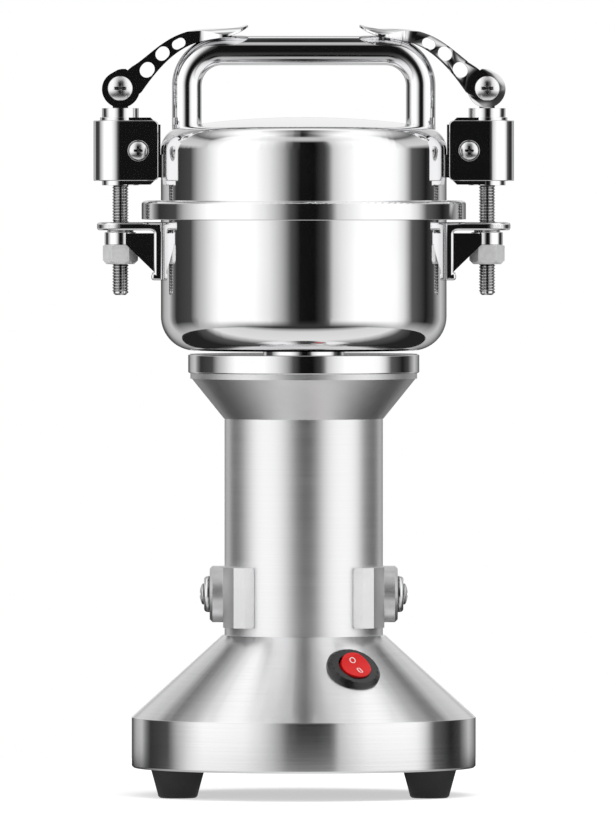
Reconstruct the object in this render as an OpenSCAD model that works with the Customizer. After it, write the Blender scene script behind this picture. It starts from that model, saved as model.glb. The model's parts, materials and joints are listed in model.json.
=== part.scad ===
// Upright electric grain mill: a drop-forged blade pair in a steel bowl, driven by a
// brushed universal motor in the column below it. The lid is drawn down by two cam-lever
// clamps on threaded rods. Millimetres, +Z up, origin on the floor under the motor axis,
// the switch side towards -Y.

/* [Base] */
// Radius of the base skirt
skirt_r = 73.1; // [68:0.1:80]
// Height of the straight skirt
skirt_h = 21.3; // [18:0.1:28]
// Height of the cone above the skirt
cone_h = 35; // [30:0.5:42]
// Width of the rim that the cone leaves around the column
rim_w = 0.95; // [0.6:0.05:1.5]
// Sheet thickness of the base shell
shell_t = 1.5; // [1:0.1:2]
// Thickness of the bottom plate
bottom_t = 1.5; // [1:0.1:2.5]

/* [Feet] */
// Height of a rubber foot
foot_h = 11.9; // [8:0.1:16]
// Radius of a foot where it meets the base
foot_top_r = 11.3; // [9:0.1:12]
// Radius of a foot at the floor
foot_bottom_r = 8.5; // [7:0.1:9]
// Distance of the feet from the centre, left to right
foot_x = 53.3; // [48:0.1:54]
// Distance of the feet from the centre, front to back
foot_y = 29; // [24:0.1:30]

/* [Column and neck] */
// Outer radius of the motor column
column_r = 33.65; // [32.5:0.05:35]
// Wall of the column tube
column_t = 2; // [1.5:0.1:2.4]
// Length of column that shows above the base
column_h = 92; // [88:0.5:100]
// Length of column hidden inside the base
column_tail = 8; // [6:0.5:10]
// Height of the flared neck
neck_h = 17; // [15:0.5:20]
// Radius at the wide end of the flare
neck_r = 47.6; // [44:0.1:48]
// Height of the neck's top lip
lip_h = 2.4; // [2:0.1:4]
// Radius of the polished mounting ring
ring_r = 49.1; // [48.3:0.1:54]
// Height of the polished mounting ring
ring_h = 8; // [6:0.5:10]
// Radius of the pedestal under the bowl
pedestal_r = 17.3; // [16.5:0.1:22]
// Height of the pedestal under the bowl
pedestal_h = 1.5; // [1:0.1:4]

/* [Bowl] */
// Outer radius of the bowl
bowl_r = 60.7; // [58:0.1:62]
// Height of the bowl from its bottom to the lid band
bowl_h = 55.7; // [50:0.1:70]
// Outer corner radius at the bowl's bottom
bowl_corner_r = 14.5; // [10:0.5:18]
// Wall of the bowl
bowl_t = 1.5; // [1:0.1:2]

/* [Lid] */
// Outer radius of the lid's band
band_r = 68.9; // [68:0.1:69.4]
// Height of the lid's band
band_h = 7.9; // [7:0.1:10]
// Height of the lid's straight wall above the band
lid_wall_h = 21.7; // [18:0.1:26]
// Radius of the lid's shoulder
shoulder_r = 10; // [7:0.5:12]
// Radius of the slightly domed crown
crown_r = 350; // [250:10:500]
// Wall of the lid
lid_t = 1.2; // [1:0.1:1.6]
// Thickness of the sealing ring under the band
gasket_t = 2; // [1.5:0.1:2.5]

/* [Handle] */
// Diameter of the handle tube
handle_d = 12.5; // [10:0.1:13]
// Wall of the handle tube
handle_t = 1.5; // [1:0.1:2]
// Distance between the handle's leg axes
handle_span = 99.4; // [94:0.1:100]
// Height of the handle's bar axis above the crown
handle_rise = 28.4; // [27.6:0.1:29]
// Bend radius of the handle's corners, on the tube axis
handle_bend_r = 15; // [12:0.5:18]

/* [Clamps] */
// Distance of a clamp rod from the motor axis
clamp_x = 77.9; // [77:0.1:80]
// Diameter of the clamp rod
rod_d = 7; // [6:0.1:7.4]
// Length of rod that shows below the nut
rod_tail = 13.1; // [8:0.1:18]
// Outer radius of the strap around the sleeve
strap_r = 11.4; // [10.6:0.1:12]
// Height of the strap
strap_h = 25.7; // [22:0.1:26.5]
// Gap between the strap's ends and the lid wall
strap_gap = 1; // [0.5:0.1:2]
// Outer radius of the sleeve that guides the rod
sleeve_r = 7.8; // [7.6:0.1:8.4]
// Height of the sleeve's collar above the strap
collar_h = 5.2; // [4:0.1:7]
// Radius of the lever's cam head when closed
cam_r = 8.3; // [8:0.1:8.8]
// How far the cam lets the rod drop when the lever is open
cam_drop = 0.9; // [0.5:0.1:1.2]
// Angle that the lever opens through, in degrees
lever_open = 150; // [120:5:150]
// Width of the lever's arm
lever_w = 13.6; // [12.6:0.2:15]
// Width of the lever's thumb paddle
paddle_w = 21; // [17:0.5:24]
// Radius of the nut across its corners
nut_r = 7.5; // [7:0.1:7.8]
// Height of the nut
nut_h = 8.2; // [6:0.1:9]
// Thickness of the bracket plate on the bowl
plate_t = 3.4; // [2.5:0.1:4]

/* [Switch] */
// Angle of the switch to the right of the front, in degrees
switch_azimuth = 25; // [0:1:40]
// Angle of the rocker's marks against the cone's slope, in degrees
rocker_spin = 17.4; // [0:0.1:30]
// Height of the switch above the floor
switch_z = 54.7; // [50:0.1:56]
// Outer radius of the switch's bezel
bezel_r = 11.65; // [11:0.05:12.5]
// Radius of the round rocker
rocker_r = 6.6; // [6:0.1:7]
// Tilt of the rocker either way, in degrees
rocker_tilt = 7; // [4:0.5:8]

/* [Motor] */
// Height of the carbon brushes above the floor
brush_z = 85.6; // [85:0.1:88]
// Outer radius of the brush covers
brush_cover_r = 12; // [11:0.1:12.6]
// Distance of the brush cover's face from the motor axis
brush_cover_x = 39.95; // [38:0.05:42]
// Radius of the rotor's iron core
rotor_r = 16; // [14:0.5:18]
// Diameter of the shaft inside the bowl
shaft_d = 10; // [9:0.5:11]
// Length of the blades from tip to tip
blade_span = 92; // [80:1:100]

/* [Hidden] */
$fn = 72;
fit = 0.05;          // radial clearance of running and seated fits
slack = 0.3;         // clearance between curved faces of different bodies
bite = 0.01;         // overlap of two shapes fused into one solid

// Levels, from the floor up
skirt_z0 = foot_h;
skirt_z1 = skirt_z0 + skirt_h;
cone_z1 = skirt_z1 + cone_h;
neck_z0 = cone_z1 + column_h;
neck_z1 = neck_z0 + neck_h;
ring_z0 = neck_z1 + lip_h;
ring_z1 = ring_z0 + ring_h;
bowl_z0 = ring_z1 + pedestal_h;
band_z0 = bowl_z0 + bowl_h;
band_z1 = band_z0 + band_h;
lid_wall_z1 = band_z1 + lid_wall_h;

// The base cone as a line in the radial plane, and its outward normal
cone_top_r = column_r + rim_w;
cone_run = skirt_r - cone_top_r;
cone_slant = sqrt(cone_run * cone_run + cone_h * cone_h);
cone_nr = cone_h / cone_slant;
cone_nz = cone_run / cone_slant;
function cone_radius(z) = skirt_r - (z - skirt_z1) * cone_run / cone_h;

// The crown's sphere, tangent to the shoulder's arc on the lid wall
shoulder_x = bowl_r - shoulder_r;
crown_zc = lid_wall_z1 - sqrt(pow(crown_r - shoulder_r, 2) - shoulder_x * shoulder_x);
crown_z = crown_zc + crown_r;
shoulder_end_x = shoulder_x * crown_r / (crown_r - shoulder_r);
handle_z = crown_z + handle_rise;

// The bowl's rim under the lid's band
rim_t = 1.5;
lid_top_t = 1.6;
rim_z1 = band_z1 - lid_top_t - gasket_t;
rim_r = band_r - lid_top_t - 0.5;

// Clamp levels
strap_z1 = band_z1 + 34.2;
strap_z0 = strap_z1 - strap_h;
sleeve_z1 = strap_z1 + collar_h;
sleeve_z0 = strap_z0 - 1.9;
pivot_z = sleeve_z1 + cam_r + fit;
plate_z1 = band_z0 - 1.2;
plate_z0 = plate_z1 - plate_t;
nut_z1 = plate_z0 - 6.2;
nut_z0 = nut_z1 - nut_h;
rod_z0 = nut_z0 - rod_tail;
rod_r = rod_d / 2;
ear_w = 2 * sleeve_r;
strap_screw_x = clamp_x - 7.7;
strap_screw_z = (strap_z0 + strap_z1) / 2;
strap_screw_r = 2;
tongue_w = 13;
tongue_t = 6;
tongue_z0 = sleeve_z1 - 6;
eye_r = 6.5;
lever_pin_r = 2.5;
drop_per_deg = cam_drop / lever_open;

// Motor levels and sizes
column_z0 = cone_z1 - column_tail;
bearing_r = 11;
bearing_h = 7;
lower_bearing_z = brush_z - 19.6;
upper_bearing_r = 16;
upper_bearing_h = 10;
upper_bearing_z = ring_z0 - upper_bearing_h;
bearing_seat_t = 2;
fan_h = 7;
fan_gap = 5.5;
winding_h = 7;
winding_gap = 1.5;
pole_w = 34;
coil_side = 2;
fan_z0 = upper_bearing_z - bearing_seat_t - fan_gap - fan_h;
core_z0 = brush_z + 19;
core_z1 = fan_z0 - winding_h - winding_gap;
core_h = core_z1 - core_z0;
stator_r = column_r - column_t - fit;
air_gap = 0.6;
lower_journal_r = 4;
upper_journal_r = 6;
shaft_r = shaft_d / 2;
commutator_r = 11;
holder_r = 6;
brush_w = 6;
fan_r = stator_r - 4;

// Blade stack
blade_t = 2.5;
blade_z0 = bowl_z0 + 11;
blade_gap = 12;
blade_z1 = blade_z0 + blade_t + blade_gap;
thread_r = 4;
blade_hub_r = 9;

switch_hole_r = 9;
bezel_opening_r = rocker_r + 0.55;
gland_z = (skirt_z0 + skirt_z1) / 2;
gland_bore_r = 3.5;
gland_body_r = 6;

function arc(cx, cy, r, a0, a1, n) =
    [for (i = [0:n]) let (a = a0 + (a1 - a0) * i / n) [cx + r * cos(a), cy + r * sin(a)]];
function bezier4(p, t) = let (s = 1 - t)
    s*s*s*s * p[0] + 4*s*s*s*t * p[1] + 6*s*s*t*t * p[2] + 4*s*t*t*t * p[3] + t*t*t*t * p[4];

module tube(r_out, r_in, z0, z1) {
    translate([0, 0, z0]) difference() {
        cylinder(r = r_out, h = z1 - z0);
        translate([0, 0, -1]) cylinder(r = r_in, h = z1 - z0 + 2);
    }
}

module rod(r, z0, z1) {
    translate([0, 0, z0]) cylinder(r = r, h = z1 - z0);
}

// A cylinder along Y, from y0 to y1
module pin_y(r, y0, y1) {
    translate([0, y0, 0]) rotate([-90, 0, 0]) cylinder(r = r, h = y1 - y0);
}

// A cylinder along X, from x0 to x1
module pin_x(r, x0, x1) {
    translate([x0, 0, 0]) rotate([0, 90, 0]) cylinder(r = r, h = x1 - x0);
}

// Extrudes an outline in the XZ plane along Y
module plate_y(y0, y1) {
    translate([0, y1, 0]) rotate([90, 0, 0]) linear_extrude(height = y1 - y0) children();
}

// Half section of a round slab with rounded lower and upper edges
module slab_section(r, z0, z1, low_r = 0, high_r = 0) {
    translate([0, z0 + low_r]) square([r, z1 - z0 - low_r - high_r]);
    if (low_r > 0) {
        translate([0, z0]) square([r - low_r, low_r + bite]);
        translate([r - low_r, z0 + low_r]) intersection() {
            circle(r = low_r);
            translate([-bite, -low_r]) square([low_r + bite, low_r + bite]);
        }
    }
    if (high_r > 0) {
        translate([0, z1 - high_r - bite]) square([r - high_r, high_r + bite]);
        translate([r - high_r, z1 - high_r]) intersection() {
            circle(r = high_r);
            translate([-bite, -bite]) square([high_r + bite, high_r + bite]);
        }
    }
}

module rounded_rect(x0, y0, x1, y1, r) {
    translate([x0 + r, y0]) square([x1 - x0 - 2 * r, y1 - y0]);
    translate([x0, y0 + r]) square([x1 - x0, y1 - y0 - 2 * r]);
    for (x = [x0 + r, x1 - r], y = [y0 + r, y1 - r]) translate([x, y]) circle(r = r, $fn = 24);
}

// Places a left-hand copy of a right-hand clamp part
module left_side() {
    mirror([1, 0, 0]) children();
}

module both_sides() {
    children();
    mirror([1, 0, 0]) children();
}

// Moves to the switch's place, with +Z along the cone's outward normal
module on_cone() {
    rotate([0, 0, switch_azimuth - 90]) translate([cone_radius(switch_z), 0, switch_z])
        rotate([0, cone_tilt_y, 0]) children();
}
cone_tilt_y = atan2(cone_nr, cone_nz);

// Phillips recess, cut from a screw head's crown downwards along -Z
module cross_recess(span, depth) {
    for (a = [0, 90]) rotate([0, 0, a])
        translate([-span / 2, -span / 9, -depth]) cube([span, span * 2 / 9, depth + 2]);
}

// Pan-head screw: its head rests on z = 0 and rises, its shank goes down
module pan_screw(head_r, head_h, shank_r, length) {
    dome_r = (head_r * head_r + head_h * head_h) / (2 * head_h);
    difference() {
        translate([0, 0, head_h - dome_r]) intersection() {
            sphere(r = dome_r);
            translate([0, 0, dome_r - head_h]) cylinder(r = head_r, h = head_h + 1);
        }
        translate([0, 0, head_h]) cross_recess(head_r * 1.1, head_h * 0.7);
    }
    translate([0, 0, -length]) cylinder(r = shank_r, h = length + bite);
}

// ---------------------------------------------------------------- base

module base_shell() {
    inner_r = column_r + fit;
    collar_in = 4;
    edge = 0.8;
    color("silver") difference() {
        rotate_extrude() polygon([
            [skirt_r - shell_t, skirt_z0],
            [skirt_r - edge, skirt_z0],
            [skirt_r, skirt_z0 + edge],
            [skirt_r, skirt_z1],
            [cone_top_r, cone_z1],
            [inner_r, cone_z1],
            [inner_r, skirt_z1 - (shell_t + cone_nr * (inner_r - skirt_r)) / cone_nz],
            [skirt_r - shell_t, skirt_z1 - shell_t * (1 - cone_nr) / cone_nz]
        ]);
        on_cone() translate([0, 0, -collar_in]) cylinder(r = switch_hole_r, h = 2 * collar_in);
        translate([0, 0, gland_z]) pin_y(gland_body_r + fit, skirt_r - 8, skirt_r + 1);
    }
}

module at_feet() {
    for (x = [-foot_x, foot_x], y = [-foot_y, foot_y]) translate([x, y, 0]) children();
}

foot_screw_r = 2;
foot_recess_r = 4.6;
foot_recess_h = 6;

module rubber_feet() {
    edge = 1.7;
    color([0.08, 0.08, 0.08]) at_feet() rotate_extrude() polygon(concat(
        [[foot_recess_r, 0]],
        arc(foot_bottom_r - edge, edge, edge, -90, 0, 5),
        [
            [foot_top_r, foot_h],
            [foot_screw_r + fit, foot_h],
            [foot_screw_r + fit, foot_recess_h],
            [foot_recess_r, foot_recess_h]
        ]));
}

module foot_screws() {
    washer_t = 0.8;
    color("silver") at_feet() {
        translate([0, 0, foot_recess_h - washer_t]) mirror([0, 0, 1])
            pan_screw(3.5, 2.4, foot_screw_r, bite);
        tube(foot_recess_r - 0.3, foot_screw_r - bite, foot_recess_h - washer_t, foot_recess_h);
        rod(foot_screw_r, foot_recess_h - washer_t - bite, foot_h + bottom_t + 5);
        translate([0, 0, foot_h + bottom_t]) cylinder(r = 3.9, h = 3.2, $fn = 6);
    }
}

module bottom_plate() {
    slot_r = 2;
    color([0.2, 0.2, 0.22]) difference() {
        rod(skirt_r - shell_t - fit, skirt_z0, skirt_z0 + bottom_t);
        at_feet() rod(foot_screw_r + fit, 0, foot_h + bottom_t + 1);
        for (x = [-24:8:24]) {
            half = 30 - abs(x) / 2;
            translate([x - slot_r, -half, 0]) cube([2 * slot_r, 2 * half, foot_h + 5]);
            for (y = [-half, half]) translate([x, y, 0]) cylinder(r = slot_r, h = foot_h + 5);
        }
    }
}

module cord_gland() {
    flange_r = 9;
    flange_t = 2.6;
    barb_r = 7.4;
    color([0.08, 0.08, 0.08]) difference() {
        union() {
            difference() {
                translate([0, 0, gland_z]) pin_y(flange_r, skirt_r - 3, skirt_r + flange_t);
                rod(skirt_r, skirt_z0 - 1, skirt_z1 + 1);
            }
            translate([0, 0, gland_z]) pin_y(gland_body_r, skirt_r - 9, skirt_r + flange_t - bite);
            intersection() {
                translate([0, 0, gland_z]) pin_y(barb_r, skirt_r - 9, skirt_r);
                rod(skirt_r - shell_t - fit, skirt_z0, skirt_z1);
            }
        }
        translate([0, 0, gland_z]) pin_y(gland_bore_r, skirt_r - 12, skirt_r + 6);
    }
}

// ---------------------------------------------------------------- switch

bezel_h = 3.2;
trunnion_r = 0.9;
trunnion_z = -1.5;

module switch_bezel() {
    lip = 0.8;
    rim_top_r = bezel_r - 2.1;
    color([0.05, 0.05, 0.05]) difference() {
        union() {
            difference() {
                on_cone() rotate_extrude() polygon([
                    [0, -4], [bezel_r, -4], [bezel_r, lip], [rim_top_r, bezel_h], [0, bezel_h]
                ]);
                rotate_extrude() polygon([
                    [0, skirt_z1 - 5], [skirt_r, skirt_z1 - 5], [skirt_r, skirt_z1],
                    [cone_top_r, cone_z1], [0, cone_z1]
                ]);
            }
            on_cone() translate([0, 0, -7]) cylinder(r = switch_hole_r - fit, h = 7 + lip);
        }
        on_cone() translate([0, 0, -5]) cylinder(r = bezel_opening_r, h = 12);
        on_cone() rotate([0, 0, rocker_spin]) translate([0, 0, trunnion_z])
            pin_y(trunnion_r + fit, -bezel_opening_r - 1.2, bezel_opening_r + 1.2);
    }
}

module switch_body() {
    body_r = switch_hole_r - fit;
    body_h = 12;
    body_z0 = -19;
    tab_h = 7;
    color([0.1, 0.1, 0.1]) on_cone() {
        translate([0, 0, body_z0]) cylinder(r = body_r, h = body_h);
        for (x = [-4, 4]) translate([x - 0.4, -3, body_z0 - tab_h]) cube([0.8, 6, tab_h + bite]);
    }
}

module switch_rocker() {
    top_z = 2.9;
    color([0.85, 0.05, 0.05]) on_cone() rotate([0, 0, rocker_spin])
        translate([0, 0, trunnion_z]) rotate([0, rocker_tilt, 0]) {
            difference() {
                translate([0, 0, -2]) cylinder(r = rocker_r, h = top_z + 2 - trunnion_z);
                translate([0, 0, top_z - trunnion_z + 14.2]) pin_y(15, -20, 20);
            }
            pin_y(trunnion_r, -bezel_opening_r - 1, bezel_opening_r + 1);
        }
}

// ---------------------------------------------------------------- column and neck

module column_tube() {
    color("silver") difference() {
        tube(column_r, column_r - column_t, column_z0, neck_z0);
        translate([0, 0, brush_z]) pin_x(holder_r + fit, -column_r - 5, column_r + 5);
    }
}

module lower_bracket() {
    hub_r = bearing_r + 4;
    z0 = lower_bearing_z - 2;
    web_z1 = lower_bearing_z + 3;
    vent_pcr = 23.5;
    vent_r = 5.5;
    color("gray") difference() {
        union() {
            rod(hub_r, z0, lower_bearing_z + bearing_h);
            rod(column_r - column_t - fit, z0, web_z1);
        }
        rod(bearing_r, lower_bearing_z, lower_bearing_z + bearing_h + 1);
        rod(bearing_r - 3, z0 - 1, lower_bearing_z + 1);
        for (a = [45:90:315]) rotate([0, 0, a])
            translate([vent_pcr, 0, z0 - 1]) cylinder(r = vent_r, h = 20);
    }
}

module lower_bearing() {
    color("lightgray") tube(bearing_r, lower_journal_r, lower_bearing_z, lower_bearing_z + bearing_h);
}

module upper_bearing() {
    color("lightgray")
        tube(upper_bearing_r, upper_journal_r, upper_bearing_z, upper_bearing_z + upper_bearing_h);
}

module neck() {
    spigot_r = column_r - column_t - fit;
    spigot_h = 6;
    wall = 3;
    web_t = 5;
    hub_r = upper_bearing_r + 4;
    flare = (neck_r - column_r) / neck_h;
    web_z0 = ring_z0 - web_t;
    color("silver") rotate_extrude() polygon([
        [spigot_r - wall, neck_z0 - spigot_h],
        [spigot_r, neck_z0 - spigot_h],
        [spigot_r, neck_z0],
        [column_r + 0.25, neck_z0],
        [neck_r, neck_z1],
        [neck_r + 0.6, neck_z1],
        [neck_r + 0.6, ring_z0],
        [upper_bearing_r, ring_z0],
        [upper_bearing_r, upper_bearing_z],
        [upper_bearing_r - 3, upper_bearing_z],
        [upper_bearing_r - 3, upper_bearing_z - bearing_seat_t],
        [hub_r, upper_bearing_z - bearing_seat_t],
        [hub_r, web_z0],
        [column_r + flare * (web_z0 - neck_z0) - wall - 1.5, web_z0],
        [spigot_r - wall, neck_z0 + 1]
    ]);
}

bowl_screw_pcr = 13;
bowl_screw_r = 2;

module neck_ring() {
    edge = 0.6;
    color("silver") difference() {
        union() {
            rotate_extrude() slab_section(ring_r, ring_z0, ring_z1, edge, edge);
            rod(pedestal_r, ring_z1 - bite, bowl_z0);
        }
        rod(seal_r, ring_z0 - 1, bowl_z0 + 1);
        at_bowl_screws() rod(bowl_screw_r + fit, ring_z0 - 1, bowl_z0 + 1);
    }
}

// ---------------------------------------------------------------- motor

module stator_core() {
    back_t = 5;
    color([0.35, 0.35, 0.38]) translate([0, 0, core_z0]) linear_extrude(height = core_h) difference() {
        circle(r = stator_r);
        difference() {
            circle(r = stator_r - back_t);
            for (s = [-1, 1]) translate([s * stator_r / 2 - (s < 0 ? 15 : 0), -pole_w / 2])
                square([15, pole_w]);
        }
        circle(r = rotor_r + air_gap);
    }
}

module field_coils() {
    coil_t = 7;
    color([0.72, 0.4, 0.15]) both_sides() difference() {
        intersection() {
            translate([rotor_r + 2.4, -pole_w / 2 - coil_side, core_z0 - coil_t])
                cube([coil_t, pole_w + 2 * coil_side, core_h + 2 * coil_t]);
            rod(stator_r - 1, core_z0 - coil_t, core_z1 + coil_t);
        }
        translate([0, 0, core_z0 - fit]) linear_extrude(height = core_h + 2 * fit)
            square([3 * stator_r, pole_w + 4 * fit], center = true);
        translate([rotor_r, -stator_r, core_z0 - fit])
            cube([stator_r, 2 * stator_r, core_h + 2 * fit]);
    }
}

module at_brushes() {
    both_sides() translate([0, 0, brush_z]) children();
}

brush_x0 = commutator_r + 0.2;
brush_len = 14;
brush_cap_t = 3;
brush_screw_r = 5;
holder_x0 = commutator_r + 1.6;

module brush_holders() {
    color("goldenrod") at_brushes() difference() {
        pin_x(holder_r, holder_x0, brush_cover_x - brush_cap_t);
        translate([holder_x0 - 1, -brush_w / 2 - fit, -brush_w / 2 - fit])
            cube([2 * brush_len, brush_w + 2 * fit, brush_w + 2 * fit]);
    }
}

module carbon_brushes() {
    color([0.15, 0.15, 0.15]) at_brushes() translate([brush_x0, -brush_w / 2, -brush_w / 2])
        cube([brush_len, brush_w, brush_w]);
}

module brush_springs() {
    x0 = brush_x0 + brush_len;
    x1 = brush_cover_x - brush_cap_t;
    turns = 9;
    pitch = (x1 - x0) / turns;
    wire_r = pitch / 2 - bite;
    coil_r = brush_w / 2 - wire_r - slack;
    color("gray") at_brushes() for (i = [0:turns - 1])
        translate([x0 + (i + 0.5) * pitch, 0, 0]) rotate([0, 90, 0])
            rotate_extrude($fn = 24) translate([coil_r, 0]) circle(r = wire_r, $fn = 14);
}

module brush_covers() {
    front_x = 21;
    ridge_x = front_x + 4.1;
    back_x = front_x + 8.7;
    side_y = 15;
    z0 = brush_z - 13.9;
    z1 = brush_z + 11.7;
    proud = 0.55;
    corner_r = 1.3;
    boss_edge = 1.2;
    front_y = sqrt(column_r * column_r - front_x * front_x);
    color("silver") both_sides() difference() {
        union() {
            intersection() {
                translate([0, 0, z0]) linear_extrude(height = z1 - z0) polygon([
                    [front_x, -front_y + 1], [front_x, -front_y - 0.3],
                    [ridge_x, -front_y - 2.4], [back_x, -front_y + 0.6],
                    [column_r + proud, -side_y], [column_r + proud, side_y],
                    [back_x, front_y - 0.6], [ridge_x, front_y + 2.4],
                    [front_x, front_y + 0.3], [front_x, front_y - 1]
                ]);
                plate_y(-40, 40) rounded_rect(front_x, z0, column_r + 3, z1, corner_r);
            }
            translate([0, 0, brush_z]) pin_x(brush_cover_r, column_r - 6, brush_cover_x - boss_edge);
            translate([brush_cover_x - boss_edge - bite, 0, brush_z]) rotate([0, 90, 0])
                cylinder(r1 = brush_cover_r, r2 = brush_cover_r - boss_edge, h = boss_edge);
        }
        rod(column_r, z0 - 5, z1 + 5);
        translate([0, 0, brush_z]) pin_x(holder_r + fit, 10, brush_cover_x - brush_cap_t);
        translate([0, 0, brush_z]) pin_x(brush_screw_r + fit, 10, brush_cover_x + 1);
    }
}

module brush_screws() {
    flange_r = 7.7;
    flange_h = 2.4;
    dome_r = 4.5;
    dome_z = 4.25;
    color("silver") at_brushes() {
        translate([brush_cover_x, 0, 0]) rotate([0, 90, 0]) {
            difference() {
                union() {
                    rotate_extrude() slab_section(flange_r, 0, flange_h, 0, 1.4);
                    rotate_extrude() slab_section(dome_r, flange_h - 0.4, dome_z, 0, 1.2);
                }
                translate([0, 0, dome_z]) cross_recess(1.2 * dome_r, 1.8);
            }
        }
        pin_x(brush_screw_r, brush_cover_x - brush_cap_t + fit, brush_cover_x + bite);
    }
}

module motor_shaft() {
    color("lightgray") {
        rod(lower_journal_r - fit, lower_bearing_z - 4, brush_z - 9);
        rod(shaft_r, brush_z - 9 - bite, upper_bearing_z - bearing_seat_t);
        rod(upper_journal_r - fit, upper_bearing_z - bearing_seat_t - bite, ring_z0 + 1);
        rod(shaft_r, ring_z0, blade_z0);
        rod(thread_r, blade_z0 - bite, blade_z1 + blade_t + 8);
    }
}

module rotor_core() {
    slots = 12;
    color([0.4, 0.4, 0.43]) difference() {
        tube(rotor_r, shaft_r, core_z0, core_z1);
        for (i = [0:slots - 1]) rotate([0, 0, i * 360 / slots])
            translate([rotor_r - 1.4, -0.8, core_z0 - 1]) cube([3, 1.6, core_h + 2]);
    }
}

module rotor_windings() {
    color([0.72, 0.4, 0.15]) for (z0 = [core_z0 - winding_h, core_z1]) difference() {
        rotate_extrude() slab_section(rotor_r - 1.5, z0, z0 + winding_h, 2, 2);
        rod(shaft_r, z0 - 1, z0 + winding_h + 1);
    }
}

module commutator() {
    bars = 24;
    z0 = brush_z - 7;
    z1 = core_z0 - winding_h - 0.5;
    color("peru") difference() {
        tube(commutator_r, shaft_r, z0, z1);
        for (i = [0:bars - 1]) rotate([0, 0, i * 360 / bars])
            translate([commutator_r - 0.8, -0.3, z0 - 1]) cube([2, 0.6, z1 - z0 + 2]);
    }
}

module cooling_fan() {
    z0 = fan_z0;
    disc_t = 1.6;
    vanes = 11;
    hub_r = 8.5;
    color([0.12, 0.12, 0.14]) {
        tube(fan_r, shaft_r, z0, z0 + disc_t);
        tube(hub_r, shaft_r, z0, z0 + fan_h);
        for (i = [0:vanes - 1]) rotate([0, 0, i * 360 / vanes])
            translate([hub_r - 0.5, -0.7, z0 + disc_t - bite])
                cube([fan_r - hub_r, 1.4, fan_h - disc_t]);
    }
}

// ---------------------------------------------------------------- bowl and blades

seal_r = 8.5;

module at_bowl_screws() {
    for (a = [45:90:315]) rotate([0, 0, a]) translate([bowl_screw_pcr, 0, 0]) children();
}

module bowl() {
    color("silver") difference() {
        rotate_extrude() {
            slab_section(bowl_r, bowl_z0, rim_z1, bowl_corner_r);
            translate([0, rim_z1 - rim_t]) square([rim_r, rim_t]);
        }
        rotate_extrude()
            slab_section(bowl_r - bowl_t, bowl_z0 + bowl_t, rim_z1 + 1, bowl_corner_r - bowl_t);
        rod(seal_r, bowl_z0 - 1, bowl_z0 + 4);
        at_bowl_screws() rod(bowl_screw_r + fit, bowl_z0 - 1, bowl_z0 + 4);
    }
}

module shaft_seal() {
    color([0.6, 0.1, 0.1]) difference() {
        union() {
            rod(seal_r, ring_z0 + 2, bowl_z0 + bowl_t);
            translate([0, 0, bowl_z0 + bowl_t - bite]) cylinder(r1 = seal_r, r2 = shaft_r + 1.2, h = 4);
        }
        rod(shaft_r + fit, ring_z0, bowl_z0 + 12);
    }
}

module bowl_screws() {
    color("silver") at_bowl_screws() translate([0, 0, bowl_z0 + bowl_t])
        pan_screw(3.6, 2.2, bowl_screw_r, bowl_t + pedestal_h + ring_h);
}

// A two-armed blade: flat hub, arms that taper to a cutting edge and bend at the ends
module blade(z0, span, lift, spin) {
    arm_w = 15;
    tip_w = 9;
    tip_len = 12.6;
    bend_x = span / 2 - 13;
    color("silver") rotate([0, 0, spin]) difference() {
        union() {
            rod(blade_hub_r, z0, z0 + blade_t);
            for (a = [0, 180]) rotate([0, 0, a]) {
                intersection() {
                    translate([0, 0, z0]) linear_extrude(height = blade_t) polygon([
                        [0, -arm_w / 2], [bend_x, -tip_w / 2], [bend_x, tip_w / 2], [0, arm_w / 2]
                    ]);
                    translate([0, -arm_w / 2, z0]) rotate([90, 0, 90]) linear_extrude(height = span)
                        polygon([[0, 0], [arm_w, 0], [arm_w, blade_t], [5, blade_t], [0, 0.4]]);
                }
                translate([bend_x, 0, z0]) rotate([0, -lift, 0]) translate([-bite, 0, 0])
                    linear_extrude(height = blade_t)
                    polygon([
                        [-0.4, -tip_w / 2], [tip_len - 0.6, 3 - tip_w / 2], [tip_len, tip_w / 2 - 1.5],
                        [tip_len - 1.6, tip_w / 2], [-0.4, tip_w / 2]
                    ]);
            }
        }
        rod(thread_r, z0 - 1, z0 + blade_t + 1);
    }
}

module blade_lower() {
    blade(blade_z0, blade_span, -8, 20);
}

module blade_upper() {
    blade(blade_z1, blade_span - 12, 20, 110);
}

module blade_spacers() {
    color("silver") {
        tube(7, thread_r, blade_z0 + blade_t, blade_z1);
        tube(7, thread_r, blade_z1 + blade_t, blade_z1 + blade_t + 1.2);
    }
}

module blade_nut() {
    color("silver") translate([0, 0, blade_z1 + blade_t + 1.2]) difference() {
        cylinder(r = 7.5, h = 6, $fn = 6);
        translate([0, 0, -1]) cylinder(r = thread_r, h = 9);
    }
}

// ---------------------------------------------------------------- bowl brackets

bracket_w = 19.8;
leg_t = 2.8;

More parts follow.
